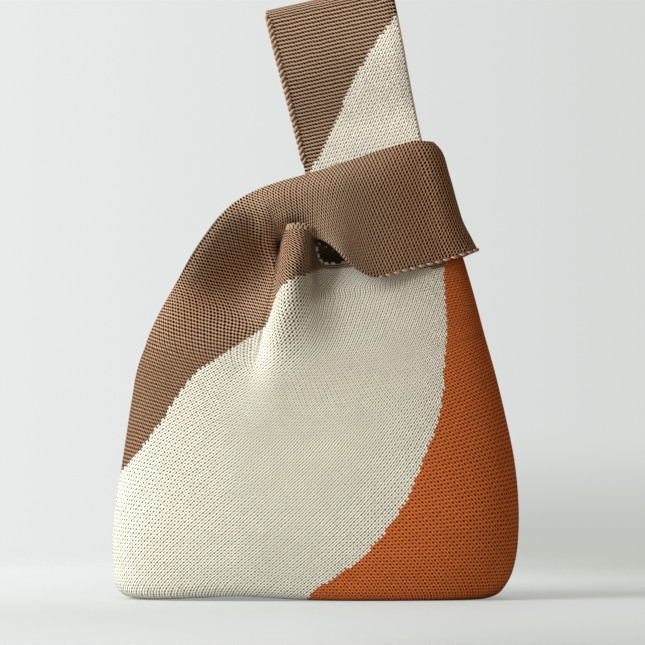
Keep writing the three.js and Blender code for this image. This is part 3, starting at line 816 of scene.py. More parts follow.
def body_course(level, pleat, valley):
    """One course of the body, as points for all columns; the front's depth is positive."""
    across = (1 - np.cos(np.linspace(0, math.pi, FINE))) / 2
    x = left_x(level) + (right_x(level) - left_x(level)) * across
    z = level + course_rise(x) * blend_up(level, 0, SAG_TOP)
    x = left_x(z) + (right_x(z) - left_x(z)) * across
    line = np.stack([x, front_depth(x, z, pleat, valley), z + base_lift(x, level)], axis=1)
    split = int(np.argmin(np.abs(x - parting_x(level))))
    ease = pleat_ease(line[split:, 0], line[split:, 2], pleat)
    left = evenly(line[:split + 1], HANDLE_COLUMNS + 1)
    right = evenly(line[split:], COLUMNS - HANDLE_COLUMNS + 1, ease)
    return np.concatenate([left, right[1:]])


def base_and_wall(pleat, valley):
    """Courses from the seam under the base out to its edge, and from there up to the shoulder."""
    foot = body_course(0.0, pleat, valley)
    seam = foot.copy()
    seam[:, 0] = np.linspace(-SEAM_HALF, SEAM_HALF, COLUMNS + 1)
    seam[:, 1] = 0.0
    base = [seam + (foot - seam) * k / BASE_COURSES for k in range(BASE_COURSES)]
    heights = np.linspace(0, SHOULDER_HEIGHT, FINER)
    run = run_of(np.stack([half_depth(heights), heights], axis=1))
    wall = int(round(run[-1] / STITCH_TALL))
    levels = np.interp(np.linspace(0, run[-1], wall + 1), run, heights)
    return base + [body_course(level, pleat, valley) for level in levels]


print("courses up to the shoulder", len(base_and_wall(FULL_PLEAT, FULL_VALLEY)))

# %% [markdown]
# ## Courses up to the mouth
# Between the shoulder and the mouth a course has only the columns right of the valley. It starts at the
# valley's line and ends on the right side. The mouth's edge climbs over the pleat and drops to its
# right, so these courses fan out: each lies at a share of the way from the shoulder to that edge. The
# right end is found in a few rounds, because the side leans and the height of the end isn't known
# before.

# %% Mouth courses
VALLEY_TOP = 186.0
MOUTH_RIGHT, MOUTH_ROUNDS = 84.0, 3
RIM_X = [-30, -20, -17.8, -14, -9.5, -5, -2, -0.4, 1, 3, 7, 14, 25, 45, 70, 80]
FRONT_RIM = [186, 186, 192.5, 194.4, 195, 194.4, 192, 186, 180, 177, 176, 176.6, 178, 182, 187, 188]
BACK_RIM = [186, 186, 186.5, 187, 187, 187, 186.5, 186.2, 185.8, 184.8, 183, 179.6, 178, 182, 187, 188]


def mouth_height(x, share, rim):
    """Height at x of the course that lies at a share of the way from the shoulder to the mouth."""
    low = SHOULDER_HEIGHT + course_rise(x)
    return low + (smooth_value(x, RIM_X, rim) - low) * share


def mouth_course(share, pleat, valley, rim):
    """One course between the shoulder and the mouth, from the valley to the right side."""
    level = SHOULDER_HEIGHT + share * (VALLEY_TOP - SHOULDER_HEIGHT)
    start = float(smooth_value(level, VALLEY_Z, VALLEY_X))
    across = np.linspace(0, 1, FINE)
    x = start + (MOUTH_RIGHT - start) * across
    for _ in range(MOUTH_ROUNDS):
        stop = right_x(mouth_height(x, share, rim)[-1])
        x = start + (stop - start) * np.sin(across * math.pi / 2)
    z = mouth_height(x, share, rim)
    line = np.stack([x, front_depth(x, z, pleat, valley), z], axis=1)
    line[-1, 1] = 0
    return evenly(line, COLUMNS - HANDLE_COLUMNS + 1, pleat_ease(x, z, pleat))


print("mouth's edge is", max(FRONT_RIM), "mm high on the pleat and", min(FRONT_RIM), "mm beside it")

# %% [markdown]
# ## Guide lines of the short handle
# The short handle turns over the left shoulder, wraps the long handle and closes at a crest on the
# right, where the front and the back half are linked. Its outer edge, its lower edge and its crest are
# outlines in the photograph, so they are drawn as lines. The back's lower edge isn't seen there, and is
# taken as a plainer line.

# %% Guide lines
OUTER_EDGE = smooth_line([
    (-89.2, 133), (-85.6, 142.2), (-79.2, 155), (-69.3, 170.8), (-58.3, 188), (-47.5, 202), (-40.2, 208.6),
    (-27.8, 215.6), (-17.6, 219.2), (-6.8, 222.2), (7.3, 226.4), (21.9, 231), (39.6, 236.6), (51, 239.6),
])
LOWER_EDGE = [
    (-14.5, 189), (-8, 190.5), (0, 190), (5.7, 188), (12.5, 183.4), (18.2, 177.8), (25, 172.8), (29, 171),
    (32, 170.5), (36, 171.2), (48.5, 174.4), (60, 177.4), (67, 179.2),
]
BACK_LOWER_EDGE = [
    (-13, 187), (-6, 186.5), (0, 184.5), (8, 180), (15, 176), (21, 173.4), (27, 172), (33, 171.4),
    (48.5, 173.4), (60, 175.4), (67, 177),
]
CREST_LINE = [
    (61.5, 239.4), (64.5, 236.4), (69.6, 222.5), (73.8, 207.5), (77, 197.5), (81.2, 189.5), (83.8, 184.4),
]
print("outer edge of the short handle", round(run_of(OUTER_EDGE)[-1]), "mm")

# %% [markdown]
# ## Depth of the short handle
# A course of the handle runs from the outer edge to the lower edge. Two tables say which points of
# these lines belong together, and a third gives the depth across some chosen courses: the shoulder
# hollows, the cuff rolls out and its end turns in. The depth could be sculpted, but a table can be set
# against the photograph's shading row by row. The back's cuff stays fuller at its lower edge.

# %% Handle tables
MATCH_COURSE = [0, 0.15, 0.3, 0.42, 0.5, 0.6, 0.7, 0.85]
MATCH_OUTER = [0, 0.17, 0.345, 0.475, 0.56, 0.69, 0.81, 1]
MATCH_LOWER_COURSE = [0.5, 0.6, 0.7, 0.85]
MATCH_LOWER = [0, 0.19, 0.43, 1]
DEPTH_SHARE = [0, 0.07, 0.2, 0.42, 0.7, 0.87, 1]
DEPTH_COURSE = [0.12, 0.22, 0.36, 0.42, 0.47, 0.52, 0.58, 0.68, 0.78, 0.85]
FRONT_DEPTHS = [
    (7, 9, 10.5, 11.5, 15, 18, 0),
    (14, 14, 12, 7.5, 7, 12, 0),
    (19, 19, 16, 9, 3.5, 4.5, 0),
    (20, 20.5, 19.5, 12, 4.5, 4.5, 0),
    (19.5, 22, 24, 23.5, 15, 8, 0),
    (18, 21.5, 25, 26.5, 24, 17.5, 12),
    (16.5, 20.5, 24.5, 26.5, 26, 24, 20.5),
    (15, 19, 23.5, 26, 27.5, 29, 30.5),
    (12, 15, 18, 19.5, 20, 20.5, 21),
    (10, 11.5, 12.5, 13.5, 14, 14, 13.5),
]
BACK_LEAST = (14, 17.5)
BACK_DEPTHS = [row[:5] + (max(row[5], BACK_LEAST[0]), max(row[6], BACK_LEAST[1])) for row in FRONT_DEPTHS]
print("cuff stands out", max(max(row) for row in FRONT_DEPTHS), "mm at most")

# %% [markdown]
# ## Courses of the short handle
# Each course starts in the shape of the shoulder and leaves it little by little, from the outer edge
# to the lower one. Along the mouth the handle still hangs on the body, so its courses end on the
# mouth's first column there. A separate band could be sewn on instead, but the real handle has no seam
# at its root.

# %% Handle courses
LEFT_BODY = 0.24


def spot_on(line, share):
    """The point of a line at a share of its length."""
    run = run_of(line)
    return np.array([np.interp(share, run / run[-1], line[:, k]) for k in range(line.shape[1])])


def handle_course(t, start, hangs_on, lower, depths):
    """One course of the short handle; t runs from the shoulder to the turn. start is the shoulder's course,
    hangs_on the mouth's first point on this course, or None above the mouth."""
    across = np.linspace(0, 1, HANDLE_COLUMNS + 1)
    away = float(blend_up(t, 0, LEFT_BODY))
    start_share = (start[:, 0] - start[0, 0]) / (start[-1, 0] - start[0, 0])
    sag = start[:, 2] - (start[0, 2] + (start[-1, 2] - start[0, 2]) * start_share)
    share = (start_share + (across - start_share) * away)[:, None]
    knots = smooth_value(t, DEPTH_COURSE, depths)
    if hangs_on is None:
        tail = spot_on(lower, smooth_value(t, MATCH_LOWER_COURSE, MATCH_LOWER))
    else:
        tail = hangs_on[[0, 2]]
        knots[-1] = hangs_on[1]
    depth = smooth_value(across, DEPTH_SHARE, knots)
    depth = start[:, 1] + (depth - start[:, 1]) * away
    if hangs_on is not None:
        depth += (hangs_on[1] - depth[-1]) * across ** 3
    head = spot_on(OUTER_EDGE, smooth_value(t, MATCH_COURSE, MATCH_OUTER))
    flat = head + (tail - head) * share
    return np.stack([flat[:, 0], depth, flat[:, 1] + sag * (1 - away)], axis=1)


print("handle is free of the shoulder's shape from", LEFT_BODY, "of its way on")

# %% [markdown]
# ## Turn of the short handle
# At the right end the courses turn into the crest like a quarter of a circle. Front and back share the
# crest's line, so both halves close there without a gap. A bevel could round the end too, but its faces
# would be no stitches.

# %% Turn into the crest
TURN_COURSES, TURN_POWER = 16, 0.9


def turned_courses(last):
    """Courses round the right end of the short handle, up to the crest that front and back share."""
    line = evenly(smooth_line(CREST_LINE), HANDLE_COLUMNS + 1)
    crest = np.stack([line[:, 0], np.zeros(len(line)), line[:, 1]], axis=1)
    courses = []
    for k in range(1, TURN_COURSES + 1):
        angle = 0.5 * math.pi * k / TURN_COURSES
        course = last + (crest - last) * math.sin(angle)
        course[:, 1] = last[:, 1] * math.cos(angle) ** TURN_POWER
        courses.append(course)
    return courses


print("courses in the turn", TURN_COURSES)

# %% [markdown]
# ## Grids of the two panels
# Now the courses are stacked into one grid for the front and one for the back, with gaps (nan) where a
# course has no stitch. The courses could be lofted one pair at a time, but a grid keeps every column in
# one line from the base to the crest.

# %% Panel grids
RISE_COURSES, BAND_COURSES = 42, 52
AT_MOUTH, AT_TURN = 0.5, 0.85
GUIDE_POINTS = 400
BACK_PLEAT, BACK_VALLEY = 0.12, 0.1


def panel_points(pleat, valley, rim, lower_edge, depths):
    """Grid of points (courses, columns, 3), and the row of the mouth."""
    body = base_and_wall(pleat, valley)
    start = body[-1][:HANDLE_COLUMNS + 1]
    mouth = [mouth_course(k / RISE_COURSES, pleat, valley, rim) for k in range(1, RISE_COURSES + 1)]
    lower = smooth_line([mouth[-1][0, [0, 2]], *lower_edge], GUIDE_POINTS)
    handle = []
    for k, course in enumerate(mouth):
        handle.append(handle_course(AT_MOUTH * (k + 1) / RISE_COURSES, start, course[0], lower, depths))
    for k in range(1, BAND_COURSES + 1):
        t = AT_MOUTH + (AT_TURN - AT_MOUTH) * k / BAND_COURSES
        handle.append(handle_course(t, start, None, lower, depths))
    handle += turned_courses(handle[-1])
    points = np.full((len(body) + len(handle), COLUMNS + 1, 3), np.nan)
    mouth_at = len(body) + RISE_COURSES - 1
    points[:len(body)] = body
    points[len(body):mouth_at + 1, HANDLE_COLUMNS:] = mouth
    points[len(body):, :HANDLE_COLUMNS + 1] = handle
    return points, mouth_at


front_grid, mouth_row = panel_points(FULL_PLEAT, FULL_VALLEY, FRONT_RIM, LOWER_EDGE, FRONT_DEPTHS)
back_grid, mouth_row = panel_points(BACK_PLEAT, BACK_VALLEY, BACK_RIM, BACK_LOWER_EDGE, BACK_DEPTHS)
shoulder_row = mouth_row - RISE_COURSES
print("courses", front_grid.shape[0], "mouth at", mouth_row, "columns", COLUMNS)

# %% [markdown]
# ## Small dents
# Lines that were drawn apart meet with small dents, and real knit evens those out by itself. A few
# rounds of averaging with the four neighbours do the same, while the sides and the base stay where they
# are. A Smooth modifier would pull in the free edges as well.

# %% Even out
FRONT_ROUNDS, BACK_ROUNDS = 3, 8


def relaxed(points, rounds):
    """Evens out small dents; the sides, the base and the free edges stay."""
    points = points.copy()
    hold = np.zeros(points.shape[:2], bool)
    hold[:, 0] = hold[:, -1] = True
    hold[:BASE_COURSES + 1] = True
    for _ in range(rounds):
        wide = np.pad(points, ((1, 1), (1, 1), (0, 0)), constant_values=np.nan)
        mean = (wide[:-2, 1:-1] + wide[2:, 1:-1] + wide[1:-1, :-2] + wide[1:-1, 2:]) / 4
        free = ~np.isnan(mean).any(axis=2) & ~hold
        points[free] += 0.5 * (mean - points)[free]
    return points


drawn = front_grid
front_grid = relaxed(front_grid, FRONT_ROUNDS)
back_grid = relaxed(back_grid, BACK_ROUNDS)
SIDES = (("front", -1, front_grid), ("back", 1, back_grid))
print("front evened out by up to", round(float(np.nanmax(np.abs(front_grid - drawn))), 1), "mm")

# %% [markdown]
# ## Faces and borders of the cloth
# A grid of points becomes cloth when each four neighbours get a face. Two things are then needed to
# give it a body: the direction that each point faces, and the edges that have a face on one side only,
# which are the cloth's border. Blender could tell both from a mesh, but at this stage plain arrays are
# quicker to work with.

# %% Faces and borders
TINY = 1e-12


def grid_faces(there):
    """Quads between the points that are there; columns run to the right, seen from outside."""
    index = np.full(there.shape, -1)
    index[there] = np.arange(there.sum())
    quads = np.stack([index[:-1, :-1], index[:-1, 1:], index[1:, 1:], index[1:, :-1]], axis=-1)
    return quads[(quads >= 0).all(axis=-1)]


def normals_of(points, faces):
    """Unit normals of the points of a quad mesh."""
    corners = points[faces]
    flat = np.cross(corners[:, 2] - corners[:, 0], corners[:, 3] - corners[:, 1])
    total = np.zeros_like(points)
    for k in range(4):
        np.add.at(total, faces[:, k], flat)
    return total / np.maximum(np.linalg.norm(total, axis=1), TINY)[:, None]


def border_of(faces):
    """Edges that have a face on one side only, each with that face's number."""
    owner = {}
    for number, face in enumerate(faces.tolist()):
        for a, b in zip(face, face[1:] + face[:1]):
            owner[a, b] = number
    return [(a, b, number) for (a, b), number in owner.items() if (b, a) not in owner]


quads = grid_faces(~np.isnan(front_grid).any(axis=2))
print("front panel", len(quads), "stitches and", len(border_of(quads)), "edges on its border")

# %% [markdown]
# ## Rims
# Knit has a body: its edge shows a soft round of about 2.6 mm. A Solidify modifier would leave a hard
# square rim, so the rim is made here, ring by ring, from the edge of the outer face to that of the
# inner one. A free edge gets a half-round rim, on which the stitches go on. An edge that meets another
# piece gets a flat one, so that both pieces close against each other.

# %% Rims
KNIT_THICK = 2.6
RIM_STEPS, RIM_STITCHES = 4, 1.6


def outward(points, normal, stitches, border, free):
    """Which way the rim bulges at each point of a free border, on the bag and in stitch coordinates."""
    away = np.zeros_like(points)
    away_stitch = np.zeros_like(stitches)
    for a, b, _ in border:
        if free[a] == 0 and free[b] == 0:
            continue
        out = np.cross(points[b] - points[a], normal[a] + normal[b])
        step = stitches[b] - stitches[a]
        turn = np.array([step[1], -step[0]])
        for point in (a, b):
            away[point] += out / max(np.linalg.norm(out), TINY)
            away_stitch[point] += turn / max(np.linalg.norm(step), TINY)
    size = np.maximum(np.linalg.norm(away, axis=1), TINY)[:, None]
    return away / size, away_stitch / size


def rim_rings(points, normal, stitches, border, edge, free):
    """Points and stitch coordinates of the rings between the outer and the inner face's edge."""
    away, away_stitch = outward(points, normal, stitches, border, free)
    bulge = np.where(free[edge] == 0, 1.0, free[edge])[:, None]
    ring_points, ring_stitches = [], []
    for k in range(1, RIM_STEPS):
        angle = math.pi * k / RIM_STEPS
        level = points[edge] - normal[edge] * KNIT_THICK * (1 - math.cos(angle)) / 2
        ring_points.append(level + away[edge] * bulge * math.sin(angle) * KNIT_THICK / 2)
        ring_stitches.append(stitches[edge] + away_stitch[edge] * k / RIM_STEPS * RIM_STITCHES)
    return ring_points, ring_stitches


def rim_faces(border, edge, rings, fields, rim_field):
    """Quads from ring to ring round the border, in their face's field or the rim's own, if that isn't -1."""
    at = {point: k for k, point in enumerate(edge)}
    quads, quad_fields = [], []
    for a, b, number in border:
        own = rim_field is not None and rim_field[a] == rim_field[b] and rim_field[a] >= 0
        for low, high in zip(rings[:-1], rings[1:]):
            quads.append((low[at[b]], low[at[a]], high[at[a]], high[at[b]]))
            quad_fields.append(rim_field[a] if own else fields[number])
    return np.array(quads), np.array(quad_fields)


print("a rim has", RIM_STEPS, "steps round", KNIT_THICK, "mm")

# %% [markdown]
# ## Cloth with thickness
# A thick sheet is the outer face, the same face again one thickness further in and turned round, and
# the rim between them. Outer face and rim show the yarn of their field. The inner face can have a field
# of its own: inside the bag it is a brown knit with painted shade, since the inside lies in shade. One
# closed mesh is better than three here, because nothing can come apart when the cloth bends.

# %% Sheet maker
def sheet_mesh(points, faces, stitches, fields, free, inside=None, rim_field=None):
    """Points, quads, stitch coordinates and fields of a thick sheet. free is 0 where the edge meets another
    piece and 1 where the rim is round. inside is the field of the inner face, where that differs."""
    count = len(points)
    normal = normals_of(points, faces)
    border = border_of(faces)
    edge = sorted({point for a, b, _ in border for point in (a, b)})
    ring_points, ring_stitches = rim_rings(points, normal, stitches, border, edge, free)
    all_points = [points, points - normal * KNIT_THICK, *ring_points]
    all_stitches = [stitches, stitches + 0.5, *ring_stitches]
    between = [2 * count + k * len(edge) + np.arange(len(edge)) for k in range(len(ring_points))]
    rings = [np.array(edge), *between, np.array(edge) + count]
    rim, rim_fields = rim_faces(border, edge, rings, fields, rim_field)
    all_faces = [faces, faces[:, ::-1] + count, rim]
    all_fields = [fields, fields if inside is None else np.full(len(faces), inside), rim_fields]
    return [np.concatenate(part) for part in (all_points, all_faces, all_stitches, all_fields)]


print("knit", KNIT_THICK, "mm thick")

# %% [markdown]
# ## From numbers to an object
# Every piece passes through one maker, which turns millimetres into metres and gives the mesh its
# stitch coordinates, its yarns and the marks that the knit finish reads. Soft cloth settles a little
# under its own weight, so everything above the base sinks by the same small amount here, and all pieces
# stay together.

# %% Piece maker
MM = 0.001
SETTLE, SETTLE_TOP = 1.8, 40
SHARP_FROM = math.radians(62)


def piece_from(name, points, faces, stitches, fields, materials, **marks):
    """A Blender object in metres, with one material for each field; a mark is a value for each point."""
    points = np.array(points, float)
    points[:, 2] -= SETTLE * blend_up(points[:, 2], 0, SETTLE_TOP)
    mesh = bpy.data.meshes.new(name)
    mesh.from_pydata((points * MM).tolist(), [], [list(map(int, face)) for face in faces])
    for material in materials:
        mesh.materials.append(material)
    mesh.polygons.foreach_set("material_index", np.asarray(fields, np.int32))
    if stitches is not None:
        layer = mesh.uv_layers.new(name="stitches")
        corner = np.zeros(len(mesh.loops), np.int32)
        mesh.loops.foreach_get("vertex_index", corner)
        layer.data.foreach_set("uv", np.asarray(stitches, np.float32)[corner].ravel())
    for label, values in marks.items():
        layer = mesh.attributes.new(label, "FLOAT", "POINT")
        layer.data.foreach_set("value", np.asarray(values, np.float32))
    mesh.polygons.foreach_set("use_smooth", np.ones(len(mesh.polygons), bool))
    mesh.set_sharp_from_angle(angle=SHARP_FROM)
    mesh.validate()
    item = bpy.data.objects.new(name, mesh)
    scene.collection.objects.link(item)
    return item


print("cloth settles by", SETTLE, "mm")

# %% [markdown]
# ## Colour fields
# Three yarns make three large fields: brown over the left shoulder and the short handle, cream in the
# middle, orange on the right. The borders are smooth curves on the bag, but a stitch has only one
# colour, so each border climbs in small steps. That happens by itself here, since each face is a stitch
# and takes its field from where its middle lies. The borders are drawn as the photograph shows them, so
# a stitch is looked up in that view.

# %% Field borders
BROWN_BORDER = smooth_line([
    (-104, 66), (-100.5, 69), (-89, 83), (-80, 95), (-71, 109.5), (-63.5, 118.5), (-52.5, 127),
    (-40.5, 134.5), (-32.5, 139), (-26.5, 144), (-23.5, 151), (-21, 159), (-17.5, 165), (-12, 168.3),
    (-5, 170.6), (0, 172.6), (6, 173.6), (40, 174),
])
ORANGE_BORDER = smooth_line([
    (-4, 0), (-2, 2.8), (10, 11.5), (20, 19), (30, 29), (39.2, 40.8), (46, 50.8), (53.2, 67), (58, 79),
    (63.8, 95), (66.3, 109.5), (66.9, 124.5), (68.2, 143), (67.2, 159), (66.7, 177), (66, 200),
])


def front_view(middle):
    """Where a place on the front or back cloth appears in the front view, on the middle plane."""
    eye = np.array(camera.location) / MM + np.array([0, 0, SETTLE])
    depth = -np.abs(middle[:, 1])
    share = eye[1] / (eye[1] - depth)
    return eye[0] + (middle[:, 0] - eye[0]) * share, eye[2] + (middle[:, 2] - eye[2]) * share


def panel_field(middle):
    """Field of a stitch from its place in the front view."""
    x, z = front_view(middle)
    field = np.full(len(middle), CREAM_FIELD)
    field[z > np.interp(x, BROWN_BORDER[:, 0], BROWN_BORDER[:, 1])] = BROWN_FIELD
    field[x > np.interp(z, ORANGE_BORDER[:, 1], ORANGE_BORDER[:, 0])] = ORANGE_FIELD
    return field


print("borders", round(run_of(BROWN_BORDER)[-1]), "and", round(run_of(ORANGE_BORDER)[-1]), "mm long")

# %% [markdown]
# ## Marks on the knit
# Not all of the cloth looks the same. On the crest of the pleat the columns are pulled apart. The end
# of the short handle and the fold that runs down the left shoulder lie in shade, and there the yarn is
# darker and redder, as painted shade. Low on the body the brown is painted darker and flatter, as
# painted shade. Separate materials would show a line where they meet, so each of these is a soft value
# on the points of the mesh, which the knit finish reads.

# %% Marks on the knit
STRETCH_OFF, STRETCH_REACH = 0.1, 0.95
STRETCH_DEPTH, STRETCH_FROM, STRETCH_TO = (18, 24), (125, 145), (200, 203)
CUFF_SHADE_X, CUFF_SHADE_Z, CUFF_SHADE_SLANT = (5, 60), (150, 172), 0.25
SHADE_MIDDLE, SHADE_SLOPE = (-44.0, 170.0), math.radians(39)
SHADE_WIDE, SHADE_LONG = 16, 42
LOW_SHADE_Z = (122, 168)


def crest_stretch(points):
    """How far the columns are pulled apart: most on the crest of the pleat."""
    x, depth, z = points[:, 0], np.abs(points[:, 1]), points[:, 2]
    off = (x - smooth_value(z, PLEAT_Z, PLEAT_X)) / smooth_value(z, PLEAT_Z, PLEAT_HALF)
    near = np.exp(-((off - STRETCH_OFF) / STRETCH_REACH) ** 4) * blend_up(depth, *STRETCH_DEPTH)
    return near * blend_up(z, *STRETCH_FROM) * (1 - blend_up(z, *STRETCH_TO))


def handled_end(points):
    """Painted shade, growing towards the end of the short handle."""
    x, z = points[:, 0], points[:, 2]
    return blend_up(x, *CUFF_SHADE_X) * blend_up(z - CUFF_SHADE_SLANT * x, *CUFF_SHADE_Z)


def shoulder_shade(points):
    """Painted shade along the fold that runs down the left shoulder."""
    right, up = points[:, 0] - SHADE_MIDDLE[0], points[:, 2] - SHADE_MIDDLE[1]
    along = right * math.cos(SHADE_SLOPE) + up * math.sin(SHADE_SLOPE)
    off = up * math.cos(SHADE_SLOPE) - right * math.sin(SHADE_SLOPE)
    return np.exp(-(off / SHADE_WIDE) ** 2 - (along / SHADE_LONG) ** 4)


def snug_low(points):
    """Painted shade on the brown, full up to the shoulder and fading out above it."""
    return 1 - blend_up(points[:, 2], *LOW_SHADE_Z)


print("snug up to", LOW_SHADE_Z[0], "mm, loose from", LOW_SHADE_Z[1], "mm on")

# %% [markdown]
# ## Stitches and rims of a panel
# On the body the grid itself counts the stitches. The short handle is gathered and drawn out, so there
# the count follows the length of the cloth, and the stitches keep their size. The rim is round where
# the cloth ends freely and flat where it meets another piece. At the mouth the rim is the inside knit
# with painted shade, and on the left shoulder it is a selvedge with painted shade.

# %% Stitches and rims
ROUND_AFTER = 24
# Rows between which the left shoulder's rim gets painted shade.
SHADED_SELVEDGE_AFTER, SHADED_SELVEDGE_BEFORE = 8, 10


def panel_stitches(grid, row, column):
    """Stitch coordinates of a panel's points."""
    above = row > shoulder_row
    outer, lower = [run_of(grid[shoulder_row:, k]) / STITCH_TALL + shoulder_row for k in (0, HANDLE_COLUMNS)]
    share = np.minimum(column[above] / HANDLE_COLUMNS, 1.0)
    step = row[above] - shoulder_row
    count = row.astype(float)
    count[above] = outer[step] * (1 - share) + lower[step] * share
    width = np.linalg.norm(np.diff(grid[:, :HANDLE_COLUMNS + 1], axis=1), axis=2)
    across = np.concatenate([np.zeros((len(grid), 1)), np.cumsum(width, axis=1)], axis=1)
    on_band = above & (column <= HANDLE_COLUMNS - (row <= mouth_row))
    place = column.astype(float)
    place[on_band] = across[row[on_band], column[on_band]] * HANDLE_COLUMNS / across[shoulder_row, -1]
    return np.stack([place, count], axis=1)


def panel_rim(row, column):
    """How round the rim is at each point, and the rim's own field, or -1."""
    on_left = column == 0
    free = np.ones(len(row))
    free[on_left] = blend_up(row[on_left], shoulder_row, shoulder_row + ROUND_AFTER)
    meets = (column == COLUMNS) | (row == 0) | (row == row.max())
    meets |= (row == mouth_row) & (column > COLUMNS - HANDLE_COLUMNS)
    free[meets] = 0
    rim_field = np.full(len(row), -1)
    # Painted shade on the mouth's rim, from the inside knit.
    rim_field[(row == mouth_row) & (column >= HANDLE_COLUMNS)] = INSIDE_SHADE_FIELD
    # Painted shade on the left shoulder's rim, from the selvedge knit.
    on_shoulder = (row > shoulder_row + SHADED_SELVEDGE_AFTER) & (row < mouth_row - SHADED_SELVEDGE_BEFORE)
    rim_field[on_left & on_shoulder] = SELVEDGE_SHADE_FIELD
    return free, rim_field


print("handle leaves the body at course", shoulder_row)

# %% [markdown]
# ## The two panels with the short handle
# Each panel is one piece of knit that runs from the base up to the crest of the short handle, so it is
# made as one mesh. Two pieces would need a seam that the bag doesn't have. Front and back come from the
# same maker: the back is turned round, and its pleat is too shallow to part the columns. All of it
# stays still when the handle moves.

# %% Panels
def make_panel(name, grid, sign):
    """One panel with its half of the short handle; sign is -1 for the front and 1 for the back."""
    there = ~np.isnan(grid).any(axis=2)
    row, column = np.nonzero(there)
    points = grid[there] * (1, sign, 1)
    faces = grid_faces(there)
    stitches = panel_stitches(grid, row, column)
    fields = panel_field(points[faces].mean(axis=1))
    fields[row[faces].min(axis=1) >= mouth_row] = BROWN_FIELD
    if sign > 0:
        faces = faces[:, ::-1]
        stitches[:, 0] *= -1
    free, rim_field = panel_rim(row, column)
    # The inner face takes the inside knit, with painted shade.
    sheet = sheet_mesh(points, faces, stitches, fields, free, INSIDE_SHADE_FIELD, rim_field)
    skin = sheet[0]
    on_handle = np.zeros(len(skin), bool)
    on_handle[:2 * len(points)] = np.tile((row >= mouth_row) & (column <= HANDLE_COLUMNS), 2)
    # Painted shade at the end of the short handle and along the left shoulder's fold.
    dark = np.maximum(on_handle * handled_end(skin), shoulder_shade(skin))
    stretch = crest_stretch(skin) if sign < 0 else np.zeros(len(skin))
    # Painted shade low on the body: the brown there is darker and flatter.
    return piece_from(name, *sheet, FIELDS, stretch=stretch, handled=dark, snug=snug_low(skin))


for side, sign, grid in SIDES:
    panel = make_panel(f"{side}_panel", grid, sign)
    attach(panel, "bag_body")
    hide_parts(f"{side}_brown_field", f"{side}_cream_field", f"{side}_orange_field",
                f"short_handle_{side}_root", f"short_handle_{side}")
    print(panel.name, len(panel.data.polygons), "faces")

# %% [markdown]
# ## The leaning strap
# The long handle stands up through the short one and leans to the left. It is straight above the short
# handle, so its courses are easiest to draw in a frame that leans with it: across, up and in depth. The
# strap widens a little towards the top, faces slightly to one side, and its right edge rolls in, as
# knit does.

# %% Leaning strap
NECK_PLACE = np.array([36.0, 0.0, 206.0])
NECK_LEAN = math.radians(12.5)
NECK_ACROSS = np.array([math.cos(NECK_LEAN), 0.0, math.sin(NECK_LEAN)])
NECK_UP = np.array([-math.sin(NECK_LEAN), 0.0, math.cos(NECK_LEAN)])
DEPTH_WAY = np.array([0, 1.0, 0])
STRAP_WIDE, STRAP_WIDER, WIDER_AT, STRAP_MIDDLE = 60.6, 4, (28, 112), -5.4
STRAP_TURN = 0.25
ROLL, ROLL_ACROSS, ROLL_AT, ROLL_DEPTH = 0.8, (0.9, 1.0), (20, 50), 6.0
LEAST_DEPTH = 0.02


def neck_point(x, y, z):
    """A point of the leaning neck frame, in the bag's frame."""
    x, y, z = [part[..., None] for part in np.broadcast_arrays(x, y, z)]
    return NECK_PLACE + x * NECK_ACROSS + z * NECK_UP + y * DEPTH_WAY


def strap_course(level, depth):
    """One course of the front strap; the strap turns a little to one side and its right edge rolls in."""
    across = np.linspace(0, 1, HANDLE_COLUMNS + 1)
    half = (STRAP_WIDE + STRAP_WIDER * blend_up(level, *WIDER_AT)) / 2
    x = STRAP_MIDDLE + (2 * across - 1) * half
    depth = depth * (1 + STRAP_TURN * (2 * across - 1))
    roll = ROLL * blend_up(across, *ROLL_ACROSS) ** 2 * blend_up(level, *ROLL_AT)
    depth = np.maximum(depth - roll * np.minimum(1.0, depth / ROLL_DEPTH), LEAST_DEPTH)
    return neck_point(x, -depth, np.full_like(x, level))


print("long handle leans", round(math.degrees(NECK_LEAN), 1), "degrees")

# %% [markdown]
# ## Foot of the long handle
# The handle goes on from the right 42 columns of each panel. Its foot has to leave the mouth in the
# mouth's own slope and arrive upright in the leaning strap. A cubic curve for each column does just
# that, with the slope given at both ends. On the left the free edge bows out, which leaves the small
# dark hole beside the pleat.

# %% Foot of the long handle
FOOT_TOP, FOOT_DEPTH, FOOT_COURSES, FOOT_BELOW = 5, 5.0, 20, 3
HOLE_BOW, BOW_POWER = 9.0, 0.8


def foot_courses(grid):
    """Courses from the mouth into the lean of the neck; the left edge bows out round the hole beside it."""
    below, first = grid[[mouth_row - FOOT_BELOW, mouth_row], COLUMNS - HANDLE_COLUMNS:] * (1, -1, 1)
    rising = first - below
    rising /= np.linalg.norm(rising, axis=1)[:, None]
    arrive = strap_course(FOOT_TOP, FOOT_DEPTH)
    gap = np.linalg.norm(arrive - first, axis=1)[:, None]
    courses = []
    for k in range(FOOT_COURSES):
        u = k / FOOT_COURSES
        curve = ((1 + 2 * u) * (1 - u) ** 2 * first + u * (1 - u) ** 2 * gap * rising
                 + u * u * (3 - 2 * u) * arrive + u * u * (u - 1) * gap * NECK_UP)
        bow = HOLE_BOW * np.sin(math.pi * u ** BOW_POWER) * np.linspace(1, 0, HANDLE_COLUMNS + 1) ** 3
        courses.append(curve + bow[:, None] * NECK_ACROSS)
    return courses


print("foot ends", FOOT_TOP, "mm above the neck's middle")

# %% [markdown]
# ## Courses of the long handle
# Above its foot the handle is two layers, front and back. They are pressed together just above the
# short handle, stand apart in the middle so that a hand fits in, and meet again at the crest. A table
# gives the depth at some levels. The crest is a quarter round on each layer. Only the front is drawn:
# the back mirrors it, on its own foot.

